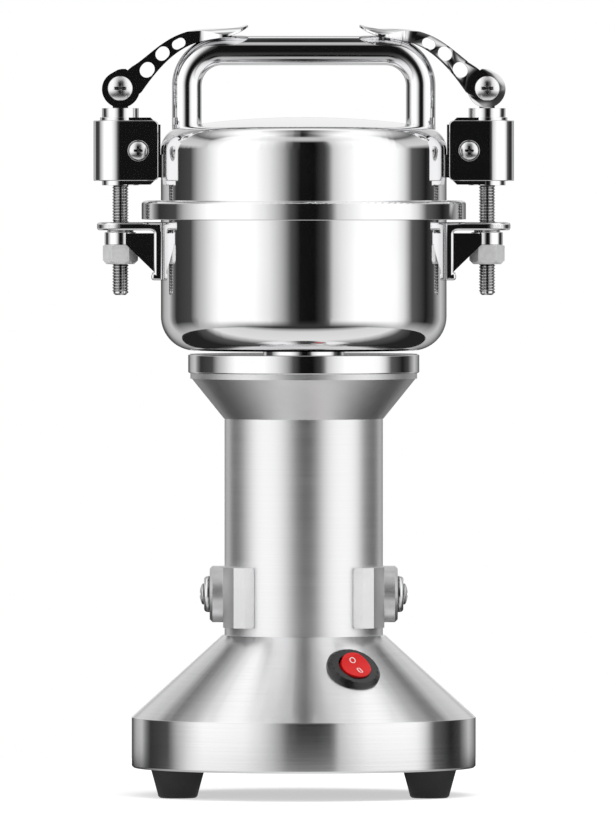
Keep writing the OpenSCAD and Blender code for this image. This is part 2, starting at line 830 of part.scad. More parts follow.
module bowl_bracket() {
    leg_x = bowl_r + leg_t;
    leg_z0 = nut_z0 - 6.8;
    bend_r = 4.5;
    gusset_t = 1.6;
    gusset_in = 1.6;
    nose_t = 1.2;
    gusset_x = clamp_x - 2.6;
    gusset_z1 = plate_z0 - 1.3;
    color("silver") difference() {
        union() {
            // plate with a round nose, bent down into the leg
            intersection() {
                plate_y(-bracket_w, bracket_w) {
                    difference() {
                        union() {
                            translate([bowl_r - bend_r + leg_t - 4, plate_z0])
                                square([clamp_x + 20 - bowl_r, plate_t]);
                            translate([bowl_r - 6, leg_z0]) square([leg_t + 6, plate_z1 - leg_z0 - 1]);
                            translate([leg_x, plate_z0 - 1.5]) square([1.5, 1.5 + bite]);
                        }
                        translate([leg_x + 1.5, plate_z0 - 1.5]) circle(r = 1.5);
                    }
                    translate([leg_x - bite, leg_z0]) square([nose_t, 3]);
                }
                union() {
                    translate([bowl_r - 20, -bracket_w / 2, leg_z0 - 1])
                        cube([clamp_x - bowl_r + 20, bracket_w, plate_z1 - leg_z0 + 2]);
                    translate([clamp_x, 0, leg_z0 - 1])
                        cylinder(r = bracket_w / 2, h = plate_z1 - leg_z0 + 2);
                }
            }
            for (y = [gusset_in - bracket_w / 2, bracket_w / 2 - gusset_in - gusset_t])
                plate_y(y, y + gusset_t) polygon([
                    [leg_x - bite, gusset_z1], [gusset_x, gusset_z1],
                    [gusset_x, gusset_z1 - 4.9], [leg_x - bite, leg_z0 + 3.5]
                ]);
        }
        rod(bowl_r, bowl_z0, band_z0);
        translate([clamp_x, 0, 0]) rod(rod_r + slack, plate_z0 - 1, plate_z1 + 1);
    }
}

module clamp_collar() {
    color("silver") translate([clamp_x, 0, 0]) difference() {
        union() {
            rod(6.7, nut_z1, plate_z0 - 0.8);
            rod(5.6, nut_z1, plate_z0);
        }
        rod(rod_r + fit, nut_z1 - 1, plate_z1);
    }
}

module clamp_nut() {
    color("silver") translate([clamp_x, 0, nut_z0]) difference() {
        intersection() {
            cylinder(r = nut_r, h = nut_h, $fn = 6);
            rotate_extrude() polygon([
                [0, 0], [nut_r - 1.6, 0], [nut_r, 1.6], [nut_r, nut_h - 0.5], [nut_r - 0.8, nut_h], [0, nut_h]
            ]);
        }
        translate([0, 0, -1]) cylinder(r = rod_r + fit, h = nut_h + 2);
    }
}

// ---------------------------------------------------------------- lid

// Half section of the domed lid, drawn in by a wall thickness
module lid_section(inset, z0) {
    r = shoulder_r - inset;
    end_x = shoulder_end_x - inset * shoulder_x / (crown_r - shoulder_r);
    translate([0, z0]) square([bowl_r - inset, lid_wall_z1 - z0]);
    translate([shoulder_x, lid_wall_z1]) intersection() {
        circle(r = r);
        translate([-bite, -bite]) square([r + 1, r + 1]);
    }
    intersection() {
        translate([0, crown_zc]) circle(r = crown_r - inset, $fn = 720);
        translate([0, lid_wall_z1 - bite]) square([end_x, crown_z - lid_wall_z1 + 1]);
    }
}

module lid_outer(z0) {
    rotate_extrude() lid_section(0, z0);
}

module lid_shell() {
    edge = 1.3;
    color("silver") difference() {
        union() {
            lid_outer(band_z1 - bite);
            rotate_extrude() slab_section(band_r, band_z0, band_z1, 0, edge);
        }
        rotate_extrude() lid_section(lid_t, band_z0 - 1);
        rod(band_r - lid_top_t, band_z0 - 1, band_z1 - lid_top_t);
    }
}

module lid_inner_ring() {
    ring_t = 1.2;
    outer_r = bowl_r - bowl_t - slack;
    z0 = band_z0 - 4;
    color("silver") {
        tube(outer_r, outer_r - ring_t, z0, band_z1 + 2);
        tube(bowl_r - lid_t, outer_r - ring_t, band_z1 - 1, band_z1 + 2);
    }
}

module lid_gasket() {
    color([0.9, 0.9, 0.88])
        tube(rim_r, bowl_r - lid_t + slack, rim_z1, rim_z1 + gasket_t);
}

// A straight length of the handle's tube, or a quarter bend of it, each a ring in section
// Height of the lid's outer face at radius r, on its crown or on its rounded shoulder
function lid_top(r) =
    r < shoulder_end_x ? crown_zc + sqrt(pow(crown_r, 2) - pow(r, 2))
    : lid_wall_z1 + sqrt(max(0, pow(shoulder_r, 2) - pow(r - shoulder_x, 2)));

module handle_ring() {
    difference() {
        circle(r = handle_d / 2);
        circle(r = handle_d / 2 - handle_t);
    }
}

// The lid's top between two radii, in short cones, which a handle leg is cut to stand on
module handle_foot_cut(r0, r1) {
    steps = ceil(r1 - r0);
    radii = [for (i = [0:steps]) r0 + (r1 - r0) * i / steps];
    rotate_extrude() polygon([
        [r0, band_z1],
        for (r = radii) [r, lid_top(r)],
        [r1, band_z1]
    ]);
}

module handle_tube() {
    leg_x = handle_span / 2;
    bend_x = leg_x - handle_bend_r;
    bend_z = handle_z - handle_bend_r;
    color("silver") {
        translate([-bend_x, 0, handle_z]) rotate([0, 90, 0])
            linear_extrude(height = 2 * bend_x) handle_ring();
        both_sides() {
            translate([bend_x, 0, bend_z]) rotate([90, 0, 0])
                rotate_extrude(angle = 90) translate([handle_bend_r, 0]) handle_ring();
            difference() {
                translate([leg_x, 0, lid_wall_z1]) linear_extrude(height = bend_z - lid_wall_z1)
                    handle_ring();
                handle_foot_cut(leg_x - handle_d / 2 - 1, leg_x + handle_d / 2 + 1);
            }
        }
    }
}

// ---------------------------------------------------------------- clamps

module lid_ear() {
    over = 1.2;
    z0 = strap_z0 - 1.6;
    z1 = strap_z1 + over;
    step_x = bowl_r + 3.4;
    color("silver") difference() {
        plate_y(-ear_w / 2, ear_w / 2) polygon([
            [bowl_r - 8, z0 + 3], [step_x - 2, z0 + 3], [step_x + 1, z0], [clamp_x, z0],
            [clamp_x, z1], [step_x + 1, z1], [step_x - 2, z1 - 3], [bowl_r + 0.2, z1 - 3],
            [bowl_r + 0.2, lid_wall_z1 - 2], [bowl_r - 8, lid_wall_z1 - 2]
        ]);
        rod(bowl_r, band_z1 - 1, lid_wall_z1 + 30);
        translate([clamp_x, 0, 0]) rod(sleeve_r + fit, z0 - 1, z1 + 1);
        translate([strap_screw_x, 0, strap_screw_z]) pin_y(strap_screw_r, -20, 20);
    }
}

module clamp_strap() {
    x0 = bowl_r + strap_gap;
    x1 = clamp_x + strap_r;
    corner_r = 2.3;
    inner_r = sleeve_r + fit;
    color("silver") difference() {
        intersection() {
            translate([0, 0, strap_z0]) linear_extrude(height = strap_h) difference() {
                union() {
                    translate([clamp_x, 0]) circle(r = strap_r);
                    translate([x0, -strap_r]) square([clamp_x - x0, 2 * strap_r]);
                }
                translate([clamp_x, 0]) circle(r = inner_r);
                translate([x0 - 1, -inner_r]) square([clamp_x - x0 + 1, 2 * inner_r]);
            }
            plate_y(-20, 20) union() {
                rounded_rect(x0, strap_z0, clamp_x, strap_z1, corner_r);
                translate([clamp_x - 5, strap_z0]) square([x1 - clamp_x + 6, strap_h]);
            }
        }
        translate([strap_screw_x, 0, strap_screw_z]) pin_y(strap_screw_r, -20, 20);
    }
}

module clamp_sleeve() {
    flange_r = sleeve_r + 0.8;
    flange_t = 1.3;
    color("silver") difference() {
        translate([clamp_x, 0, 0]) union() {
            rod(sleeve_r, sleeve_z0, sleeve_z1);
            difference() {
                rod(flange_r, strap_z1, strap_z1 + flange_t);
                translate([-20, -20, 0]) cube([20 - sleeve_r * 0.5, 40, strap_z1 + 20]);
            }
        }
        translate([clamp_x, 0, 0]) rod(rod_r + fit, sleeve_z0 - 1, sleeve_z1 + 1);
        translate([clamp_x - tongue_w / 2 - fit, -tongue_t / 2 - fit, tongue_z0 - cam_drop - 0.8])
            cube([tongue_w + 2 * fit, tongue_t + 2 * fit, 20]);
    }
}

module strap_screws() {
    length = strap_r - sleeve_r + 2.5;
    color("silver") for (s = [0, 180]) translate([strap_screw_x, 0, strap_screw_z])
        rotate([90, 0, s]) translate([0, 0, strap_r]) {
            pan_screw(3.8, 1.9, strap_screw_r - fit, length);
            tube(4.5, strap_screw_r - 1, 0, 0.5);
        }
}

module clamp_rod() {
    edge = 0.8;
    color("silver") translate([clamp_x, 0, 0]) difference() {
        union() {
            rod(rod_r, rod_z0 + edge, tongue_z0 + 1);
            translate([0, 0, rod_z0]) cylinder(r1 = rod_r - edge, r2 = rod_r, h = edge + bite);
            translate([-tongue_w / 2, -tongue_t / 2, tongue_z0])
                cube([tongue_w, tongue_t, pivot_z - tongue_z0]);
            translate([0, 0, pivot_z]) pin_y(eye_r, -tongue_t / 2, tongue_t / 2);
        }
        translate([0, 0, pivot_z]) pin_y(lever_pin_r + fit, -10, 10);
    }
}

// Side view of the lever about its pivot: cam head, arm and paddle, towards +X
lever_top = [[5.0, 9.3], [15.1, 14.7], [26.2, 33.7], [41.9, 21.1], [54.0, 27.4]];
lever_bottom = [[9.0, -1.5], [14.2, 5.9], [30.5, 30.0], [39.6, 15.1], [54.3, 26.1]];
head_neck_r = cam_r + 0.3;
outline_steps = 24;

module lever_outline() {
    // spiral cam flank, then the round head that blends into the arm
    cam_steps = 20;
    rise = 75;
    polygon(concat(
        [for (i = [0:cam_steps]) let (a = lever_open * i / cam_steps)
            (cam_r - drop_per_deg * a) * [cos(-90 - a), sin(-90 - a)]],
        [for (i = [1:4]) let (turn = (270 - lever_open - rise) * i / 4,
                              a = 270 - lever_open - turn,
                              flank_r = cam_r - cam_drop,
                              ramp_r = flank_r + (head_neck_r - flank_r) * i / 4,
                              r = min(ramp_r, flank_r / max(0.2, cos(turn))))
            r * [cos(a), sin(a)]],
        [for (i = [1:12]) let (a = rise - (rise + 90) * i / 12) cam_r * [cos(a), sin(a)]]
    ));
    polygon(concat(
        [[0, 5]],
        [for (i = [0:outline_steps]) bezier4(lever_top, i / outline_steps)],
        [for (i = [outline_steps:-1:0]) bezier4(lever_bottom, i / outline_steps)],
        [[6, -4], [0, -4]]
    ));
}

module stadium(length, r) {
    square([length, 2 * r], center = true);
    for (x = [-length / 2, length / 2]) translate([x, 0]) circle(r = r, $fn = 32);
}

// The paddle's plan view, widening from the arm to a round tip
module paddle_plan() {
    half = paddle_w / 2;
    hull() {
        translate([22, 0]) square([0.1, lever_w], center = true);
        translate([54.4 - half, 0]) circle(r = half, $fn = 48);
    }
}

module clamp_lever() {
    paddle_x = 29;
    sheet_t = 2.5;
    ridge_r = 17;
    ridge_z = 25.0;
    ridge_slope = 3.5;
    cheek_gap = tongue_t / 2 + 0.1;
    color("silver") difference() {
        intersection() {
            plate_y(-paddle_w, paddle_w) lever_outline();
            union() {
                translate([-20, -lever_w / 2, -20]) cube([paddle_x + 20, lever_w, 60]);
                intersection() {
                    translate([0, 0, 10]) linear_extrude(height = 30) paddle_plan();
                    translate([20, 0, ridge_z - ridge_r]) rotate([0, -ridge_slope, 0])
                        pin_x(ridge_r, -5, 50);
                }
            }
        }
        // hollow underside of the paddle
        translate([paddle_x, 0, ridge_z - ridge_r]) rotate([0, -ridge_slope, 0])
            pin_x(ridge_r - sheet_t, 0, 50);
        // fork for the rod's eye and tongue, clear over the whole swing
        pin_y(eye_r + 0.5, -cheek_gap, cheek_gap);
        plate_y(-cheek_gap, cheek_gap) polygon([
            [tongue_w / 2 + 0.4, 0], [tongue_w / 2 + 0.4, -12], [-12, -12], [-12, 14],
            (tongue_w / 2 + 0.4) * [cos(30), sin(30)] + 12 * [-sin(30), cos(30)],
            (tongue_w / 2 + 0.4) * [cos(30), sin(30)]
        ]);
        pin_y(lever_pin_r + fit, -20, 20);
        translate([11.4, 0, 7.9]) rotate([0, -52, 0]) plate_y(-20, 20) stadium(0.8, 3.0);
        translate([17.9, 0, 14.8]) rotate([0, -45, 0]) plate_y(-20, 20) stadium(1.0, 2.7);
        translate([24.8, 0, 19.0]) rotate([0, -28, 0]) plate_y(-20, 20) stadium(1.8, 2.1);
    }
}

module at_pivot() {
    translate([clamp_x, 0, pivot_z]) mirror([1, 0, 0]) children();
}

module lever_screw() {
    length = lever_w;
    color("silver") translate([clamp_x, 0, pivot_z]) {
        rotate([90, 0, 0]) translate([0, 0, lever_w / 2])
            pan_screw(5.25, 2.2, lever_pin_r, length);
        rotate([-90, 0, 0]) translate([0, 0, lever_w / 2]) cylinder(r = 5, h = 2.6, $fn = 6);
    }
}

// ---------------------------------------------------------------- assembly

base_shell();
bottom_plate();
rubber_feet();
foot_screws();
cord_gland();
switch_bezel();
switch_body();
switch_rocker();
column_tube();
lower_bracket();
lower_bearing();
neck();
neck_ring();
upper_bearing();
stator_core();
field_coils();
brush_holders();
carbon_brushes();
brush_springs();
brush_covers();
brush_screws();
motor_shaft();
rotor_core();
rotor_windings();
commutator();
cooling_fan();
bowl();
shaft_seal();
bowl_screws();
blade_lower();
blade_upper();
blade_spacers();
blade_nut();
left_side() bowl_bracket();  // bowl_bracket_l
bowl_bracket();  // bowl_bracket_r
left_side() clamp_collar();  // clamp_collar_l
clamp_collar();  // clamp_collar_r
left_side() clamp_nut();  // clamp_nut_l
clamp_nut();  // clamp_nut_r
lid_shell();
lid_inner_ring();
lid_gasket();
handle_tube();
left_side() lid_ear();  // lid_ear_l
lid_ear();  // lid_ear_r
left_side() clamp_strap();  // clamp_strap_l
clamp_strap();  // clamp_strap_r
left_side() clamp_sleeve();  // clamp_sleeve_l
clamp_sleeve();  // clamp_sleeve_r
left_side() strap_screws();  // strap_screws_l
strap_screws();  // strap_screws_r
left_side() clamp_rod();  // clamp_rod_l
clamp_rod();  // clamp_rod_r
left_side() at_pivot() clamp_lever();  // clamp_lever_l
at_pivot() clamp_lever();  // clamp_lever_r
left_side() lever_screw();  // lever_screw_l
lever_screw();  // lever_screw_r
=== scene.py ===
# %% [markdown]
# # Electric grain mill
#
# A steel bowl with a lift-off lid sits on a motor column with a wide conical foot. Two cam levers hold the lid down.
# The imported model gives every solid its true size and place, so it is loaded first and nothing in it is moved. Pieces
# whose look needs finer work than a machined solid are modelled here over the same sizes and take the solid's place.
# All lengths are in metres, with +Z up, the switch towards -Y and the clamps at -X and +X.

# %% Load the fixed frame
import bpy, json, math
from mathutils import Matrix, Vector

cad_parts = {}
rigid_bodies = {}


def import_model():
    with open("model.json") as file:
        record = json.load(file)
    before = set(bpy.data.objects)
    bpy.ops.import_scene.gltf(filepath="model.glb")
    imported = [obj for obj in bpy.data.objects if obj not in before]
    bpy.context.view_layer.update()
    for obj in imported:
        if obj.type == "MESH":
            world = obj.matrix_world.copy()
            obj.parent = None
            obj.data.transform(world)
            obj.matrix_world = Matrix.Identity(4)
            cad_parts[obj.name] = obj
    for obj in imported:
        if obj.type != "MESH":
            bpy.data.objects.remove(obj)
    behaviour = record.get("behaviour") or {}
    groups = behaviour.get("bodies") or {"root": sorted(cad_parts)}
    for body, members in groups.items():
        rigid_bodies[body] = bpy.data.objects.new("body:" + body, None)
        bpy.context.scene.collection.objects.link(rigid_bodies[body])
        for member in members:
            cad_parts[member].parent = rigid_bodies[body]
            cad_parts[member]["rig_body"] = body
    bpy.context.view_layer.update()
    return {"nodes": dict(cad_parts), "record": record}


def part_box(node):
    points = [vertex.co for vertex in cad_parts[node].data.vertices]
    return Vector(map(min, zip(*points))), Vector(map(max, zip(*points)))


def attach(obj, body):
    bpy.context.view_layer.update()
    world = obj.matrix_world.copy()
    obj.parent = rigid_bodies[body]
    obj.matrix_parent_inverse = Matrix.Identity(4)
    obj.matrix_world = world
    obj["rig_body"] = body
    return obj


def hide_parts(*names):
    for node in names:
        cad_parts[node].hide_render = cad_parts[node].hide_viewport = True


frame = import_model()
nodes = frame["nodes"]


# %% [markdown]
# ## Camera
#
# The mill is seen from the front, almost level, from far away, so that its upright edges stay parallel. A long lens
# at several metres does that. The view is 348.5 mm tall at the mill, and the lens follows from that and the distance.

# %% Place the camera
VIEW_HEIGHT = 0.3485
DISTANCE = 7.2
AIM = Vector((0.0016, 0.0, 0.1638))
EYE = Vector((0.0016, -DISTANCE, 0.290))

camera_data = bpy.data.cameras.new("front_camera")
camera_data.sensor_fit = "VERTICAL"
camera_data.sensor_height = 36.0
camera_data.lens = 36.0 * (EYE - AIM).length / VIEW_HEIGHT
camera_data.clip_end = 50.0
camera = bpy.data.objects.new("front_camera", camera_data)
bpy.context.scene.collection.objects.link(camera)
camera.location = EYE
camera.rotation_euler = (AIM - EYE).to_track_quat("-Z", "Y").to_euler()
bpy.context.scene.camera = camera
print("camera lens", round(camera_data.lens, 1), "mm")


# %% [markdown]
# ## Studio
#
# Polished steel has hardly any colour of its own: what one sees on it is the room. The room here is a white tent with
# a few soft dark stripes, as photographers put up around cookware. A narrow black card stands beside the camera and
# draws the dark stripe down the middle of the bowl. Grey cards to the sides give the walls their depth. All of it is
# one world whose colour follows the compass direction, so it stays put when the camera walks round the mill. The greys
# of the stops below were worked back from the bands seen in the steel of such a mill, and are no measured studio.

# %% Small helper for node graphs
def link_nodes(tree, source, target):
    """Joins an output socket to an input socket."""
    tree.links.new(source, target)


def math_node(tree, kind, a, b=None):
    """A Math node. Each input is a socket or a number."""
    node = tree.nodes.new("ShaderNodeMath")
    node.operation = kind
    for i, v in enumerate((a, b)):
        if v is None:
            continue
        if isinstance(v, (int, float)):
            node.inputs[i].default_value = v
        else:
            tree.links.new(v, node.inputs[i])
    return node.outputs[0]


def ramp_node(tree, value, stops):
    """A Color Ramp through grey or coloured stops, given as (place, grey or colour)."""
    node = tree.nodes.new("ShaderNodeValToRGB")
    points = node.color_ramp.elements
    while len(points) > 1:
        points.remove(points[-1])
    for i, (place, shade) in enumerate(stops):
        colour = (shade, shade, shade, 1) if isinstance(shade, (int, float)) else (*shade, 1)
        point = points[0] if i == 0 else points.new(place)
        point.position = place
        point.color = colour
    tree.links.new(value, node.inputs[0])
    return node.outputs[0]


def mix_colour(tree, factor, a, b):
    """A colour Mix node. Each of the three inputs is a socket, a number or a colour."""
    node = tree.nodes.new("ShaderNodeMix")
    node.data_type = "RGBA"
    for socket, v in ((node.inputs[0], factor), (node.inputs[6], a), (node.inputs[7], b)):
        if isinstance(v, (int, float)):
            socket.default_value = v if socket is node.inputs[0] else (v, v, v, 1)
        elif isinstance(v, tuple):
            socket.default_value = (*v, 1)
        else:
            tree.links.new(v, socket)
    return node.outputs[2]


def times(tree, a, b):
    """Two colours multiplied."""
    node = tree.nodes.new("ShaderNodeVectorMath")
    node.operation = "MULTIPLY"
    tree.links.new(a, node.inputs[0])
    tree.links.new(b, node.inputs[1])
    return node.outputs[0]


# %% The tent as a world
def degrees_round(d):
    """Place on a 0 to 1 ramp of a compass angle from -180 to 180, with 0 towards the camera and + to the right."""
    return (d + 180.0) / 360.0


TENT = 1.18  # strength of the whole room
MATT_SHARE = 0.61  # what matt surfaces get of the room
CROWN_LIGHT = 0.78  # low rear middle, mirrored in the lid's crown
WALL_STOPS = [
    (-180, 0.05), (-166, 0.08), (-152, 0.40), (-140, 0.52), (-133, 0.20), (-126, 0.03), (-104, 0.06), (-95, 0.40),
    (-87, 0.60), (-79, 0.84), (-72, 1.0), (-40, 1.0), (-28, 0.77), (-22, 0.57), (-16.5, 0.36), (-10.5, 0.08),
    (-3, 0.006), (9, 0.004), (17, 0.05), (20, 0.15), (24, 0.57), (30.5, 0.76), (43, 1.0), (72, 1.0), (81, 0.95),
    (89, 0.68), (98, 0.10), (117, 0.01), (129, 0.055), (146, 0.50), (165, 0.15), (180, 0.05),
]
CEILING_STOPS = [
    (-180, 0.85), (-118, 0.80), (-100, 0.95), (-62, 1.0), (-35, 0.75), (-12, 0.50), (20, 0.50),
    (40, 0.80), (62, 1.0), (95, 0.95), (118, 0.80), (180, 0.85),
]
REAR_STOPS = [(0.5, 0.62), (0.585, 0.60), (0.672, 0.58), (0.75, 0.50), (0.775, 0.34), (0.808, 0.12), (0.84, 0.26),
              (0.88, 0.50), (0.90, 0.69), (0.935, 0.98), (1.0, 1.0)]
GROUND_STOPS = [(-180, 0.48), (-110, 0.52), (-80, 0.40), (-45, 0.04), (45, 0.04), (80, 0.40), (110, 0.52),
                (180, 0.48)]
RIDGE_STOPS = [(0, 0.03), (0.03, 0.08), (0.06, 0.24), (0.12, 0.46), (0.17, 0.64), (0.27, 0.96), (0.32, 1.0)]

world = bpy.data.worlds.new("tent")
bpy.context.scene.world = world
world.use_nodes = True
tree = world.node_tree
tree.nodes.clear()
direction = tree.nodes.new("ShaderNodeTexCoord").outputs["Generated"]
split = tree.nodes.new("ShaderNodeSeparateXYZ")
link_nodes(tree, direction, split.inputs[0])
compass = math_node(tree, "ARCTAN2", split.outputs[0], math_node(tree, "MULTIPLY", split.outputs[1], -1.0))
compass = math_node(tree, "ADD", math_node(tree, "DIVIDE", compass, 2 * math.pi), 0.5)
walls = ramp_node(tree, compass, [(degrees_round(d), s) for d, s in WALL_STOPS])
ceiling = ramp_node(tree, compass, [(degrees_round(d), s) for d, s in CEILING_STOPS])
height = math_node(tree, "ADD", math_node(tree, "MULTIPLY", split.outputs[2], 0.5), 0.5)
to_ceiling = ramp_node(tree, height, [(0.0, 0.0), (0.80, 0.0), (0.88, 1.0), (1.0, 1.0)])
to_ground = ramp_node(tree, height, [(0.0, 1.0), (0.25, 1.0), (0.42, 0.0), (1.0, 0.0)])
to_rear = ramp_node(tree, height, [(0.53, 0.0), (0.62, 1.0)])
behind = ramp_node(tree, math_node(tree, "ADD", math_node(tree, "MULTIPLY", split.outputs[1], 0.5), 0.5),
                   [(0.48, 0.0), (0.53, 1.0)])
rear = ramp_node(tree, height, REAR_STOPS)
sideways = math_node(tree, "ABSOLUTE", split.outputs[0])
ridge = ramp_node(tree, sideways, RIDGE_STOPS)
ridge = mix_colour(tree, ramp_node(tree, height, [(0.94, 0.0), (0.97, 1.0)]), 1.0, ridge)
front_room = mix_colour(tree, to_ceiling, walls, ceiling)
low_middle = times(tree, ramp_node(tree, sideways, [(0.10, 1.0), (0.19, 0.0)]),
                   ramp_node(tree, height, [(0.505, 0.0), (0.52, 1.0), (0.75, 1.0), (0.85, 0.0)]))
rear_room = mix_colour(tree, low_middle, mix_colour(tree, to_rear, walls, rear), CROWN_LIGHT)
room = times(tree, mix_colour(tree, behind, front_room, rear_room), ridge)
ground = ramp_node(tree, compass, [(degrees_round(d), s) for d, s in GROUND_STOPS])
room = mix_colour(tree, to_ground, room, ground)
paths = tree.nodes.new("ShaderNodeLightPath")
seen = mix_colour(tree, paths.outputs["Is Glossy Ray"], MATT_SHARE, room)
seen = mix_colour(tree, paths.outputs["Is Camera Ray"], seen, 1.0 / TENT)
tent = tree.nodes.new("ShaderNodeBackground")
tent.inputs["Strength"].default_value = TENT
link_nodes(tree, seen, tent.inputs["Color"])
sky = tree.nodes.new("ShaderNodeOutputWorld")
link_nodes(tree, tent.outputs[0], sky.inputs[0])
print("world has", len(tree.nodes), "nodes")

# %% Soft lamps
def soft_lamp(name, place, aim, size, watts):
    """A large square lamp that throws soft light but isn't itself mirrored in the steel."""
    data = bpy.data.lights.new(name, "AREA")
    data.shape = "SQUARE"
    data.size = size
    data.energy = watts
    lamp = bpy.data.objects.new(name, data)
    bpy.context.scene.collection.objects.link(lamp)
    lamp.location = place
    lamp.rotation_euler = (Vector(aim) - Vector(place)).to_track_quat("-Z", "Y").to_euler()
    lamp.visible_glossy = False
    return lamp


soft_lamp("overhead_lamp", (0.25, -0.35, 1.25), (0, 0, 0.1), 0.9, 7.0)
soft_lamp("left_lamp", (-1.1, -0.9, 0.7), (0, 0, 0.15), 0.7, 4.0)
print("two lamps")

# %% Floor
def floor_material():
    """Pale floor that reads as white where it is lit and greys where the mill shades it. In the steel it shows a
    painted reflection: a band of its own glow that fades out behind the mill and far in front of it."""
    material = bpy.data.materials.new("pale_floor")
    material.use_nodes = True
    tree = material.node_tree
    tree.nodes.clear()
    matt = tree.nodes.new("ShaderNodeBsdfDiffuse")
    matt.inputs["Color"].default_value = (0.62, 0.62, 0.62, 1)
    lift = tree.nodes.new("ShaderNodeEmission")
    paths = tree.nodes.new("ShaderNodeLightPath")
    link_nodes(tree, math_node(tree, "MULTIPLY", paths.outputs["Is Camera Ray"], 0.55), lift.inputs["Strength"])
    both = tree.nodes.new("ShaderNodeAddShader")
    link_nodes(tree, matt.outputs[0], both.inputs[0])
    link_nodes(tree, lift.outputs[0], both.inputs[1])
    split = tree.nodes.new("ShaderNodeSeparateXYZ")
    link_nodes(tree, tree.nodes.new("ShaderNodeTexCoord").outputs["Object"], split.inputs[0])
    depth = math_node(tree, "ADD", split.outputs[1], 0.5)
    # Painted reflection: a glow seen only in the steel, bright in a band in front of the mill.
    glow_band = ramp_node(tree, depth, [(0.0, 0.02), (0.16, 0.04), (0.27, 0.75), (0.42, 0.85), (0.50, 0.10), (0.60, 0.02)])
    mirrored = tree.nodes.new("ShaderNodeEmission")
    link_nodes(tree, glow_band, mirrored.inputs["Color"])
    choice = tree.nodes.new("ShaderNodeMixShader")
    link_nodes(tree, paths.outputs["Is Glossy Ray"], choice.inputs[0])
    link_nodes(tree, both.outputs[0], choice.inputs[1])
    link_nodes(tree, mirrored.outputs[0], choice.inputs[2])
    out = tree.nodes.new("ShaderNodeOutputMaterial")
    link_nodes(tree, choice.outputs[0], out.inputs[0])
    return material


bpy.ops.object.select_all(action="DESELECT")
bpy.ops.mesh.primitive_circle_add(vertices=96, radius=0.42, fill_type="NGON", location=(0, 0, 0))
floor = bpy.context.active_object
floor.name = "floor"
floor.data.materials.append(floor_material())
print("floor radius 0.42 m")


# %% [markdown]
# ## Finishes
#
# One small helper starts each material from the same shader. Every finish then adds its own pattern: fine rings on
# turned and brushed steel, a faint haze on the polished bowl, grain on the castings, a soft skin on the rubber.

# %% Material helper
def new_material(name, colour, metallic, roughness, ior=1.5):
    """A Principled material with its constant values set on the shader's own sockets."""
    material = bpy.data.materials.new(name)
    material.use_nodes = True
    tree = material.node_tree
    shader = tree.nodes["Principled BSDF"]
    shader.inputs["Base Color"].default_value = (*colour, 1)
    shader.inputs["Metallic"].default_value = metallic
    shader.inputs["Roughness"].default_value = roughness
    shader.inputs["IOR"].default_value = ior
    return material, tree, shader


def noise_on(tree, scale, stretch=(1, 1, 1), detail=3.0):
    """Noise on Object coordinates, stretched along the axes. The scale is in bumps per metre."""
    place = tree.nodes.new("ShaderNodeTexCoord").outputs["Object"]
    mapping = tree.nodes.new("ShaderNodeMapping")
    mapping.inputs["Scale"].default_value = stretch
    link_nodes(tree, place, mapping.inputs["Vector"])
    noise = tree.nodes.new("ShaderNodeTexNoise")
    noise.inputs["Scale"].default_value = scale
    noise.inputs["Detail"].default_value = detail
    link_nodes(tree, mapping.outputs[0], noise.inputs["Vector"])
    return noise.outputs["Fac"]


def vary_roughness(tree, shader, fac, low, high):
    """Roughness that runs from low to high with a pattern."""
    node = tree.nodes.new("ShaderNodeMapRange")
    node.inputs["From Min"].default_value = 0.3
    node.inputs["From Max"].default_value = 0.7
    node.inputs["To Min"].default_value = low
    node.inputs["To Max"].default_value = high
    link_nodes(tree, fac, node.inputs["Value"])
    link_nodes(tree, node.outputs["Result"], shader.inputs["Roughness"])


def vary_colour(tree, shader, fac, dark, light):
    """Colour that runs between two near tones with a pattern."""
    link_nodes(tree, ramp_node(tree, fac, [(0.3, dark), (0.7, light)]), shader.inputs["Base Color"])


def add_bump(tree, shader, fac, height, strength=1.0):
    """Relief of that height in metres."""
    bump = tree.nodes.new("ShaderNodeBump")
    bump.inputs["Strength"].default_value = strength
    bump.inputs["Distance"].default_value = height
    link_nodes(tree, fac, bump.inputs["Height"])
    link_nodes(tree, bump.outputs[0], shader.inputs["Normal"])


# %% Polished steel
mirror_steel, tree, shader = new_material("mirror_steel", (0.86, 0.86, 0.87), 1.0, 0.05)
vary_roughness(tree, shader, noise_on(tree, 90, detail=4), 0.035, 0.075)
vary_colour(tree, shader, noise_on(tree, 25), (0.84, 0.84, 0.85), (0.88, 0.88, 0.885))

# %% Brushed steel of the foot
def brush_round_z(tree, shader, amount):
    """Stretches the gloss across fine rings that run round +Z, up and down the surface."""
    tangent = tree.nodes.new("ShaderNodeTangent")
    tangent.direction_type = "RADIAL"
    tangent.axis = "Z"
    link_nodes(tree, tangent.outputs[0], shader.inputs["Tangent"])
    shader.inputs["Anisotropic"].default_value = amount
    shader.inputs["Anisotropic Rotation"].default_value = 0.25


def steps_at_height(tree, low, high, below, above):
    """A value that changes from one to the other between two heights of the object."""
    split = tree.nodes.new("ShaderNodeSeparateXYZ")
    link_nodes(tree, tree.nodes.new("ShaderNodeTexCoord").outputs["Object"], split.inputs[0])
    node = tree.nodes.new("ShaderNodeMapRange")
    for name, v in (("From Min", low), ("From Max", high), ("To Min", below), ("To Max", above)):
        node.inputs[name].default_value = v
    link_nodes(tree, split.outputs[2], node.inputs["Value"])
    return node.outputs["Result"]


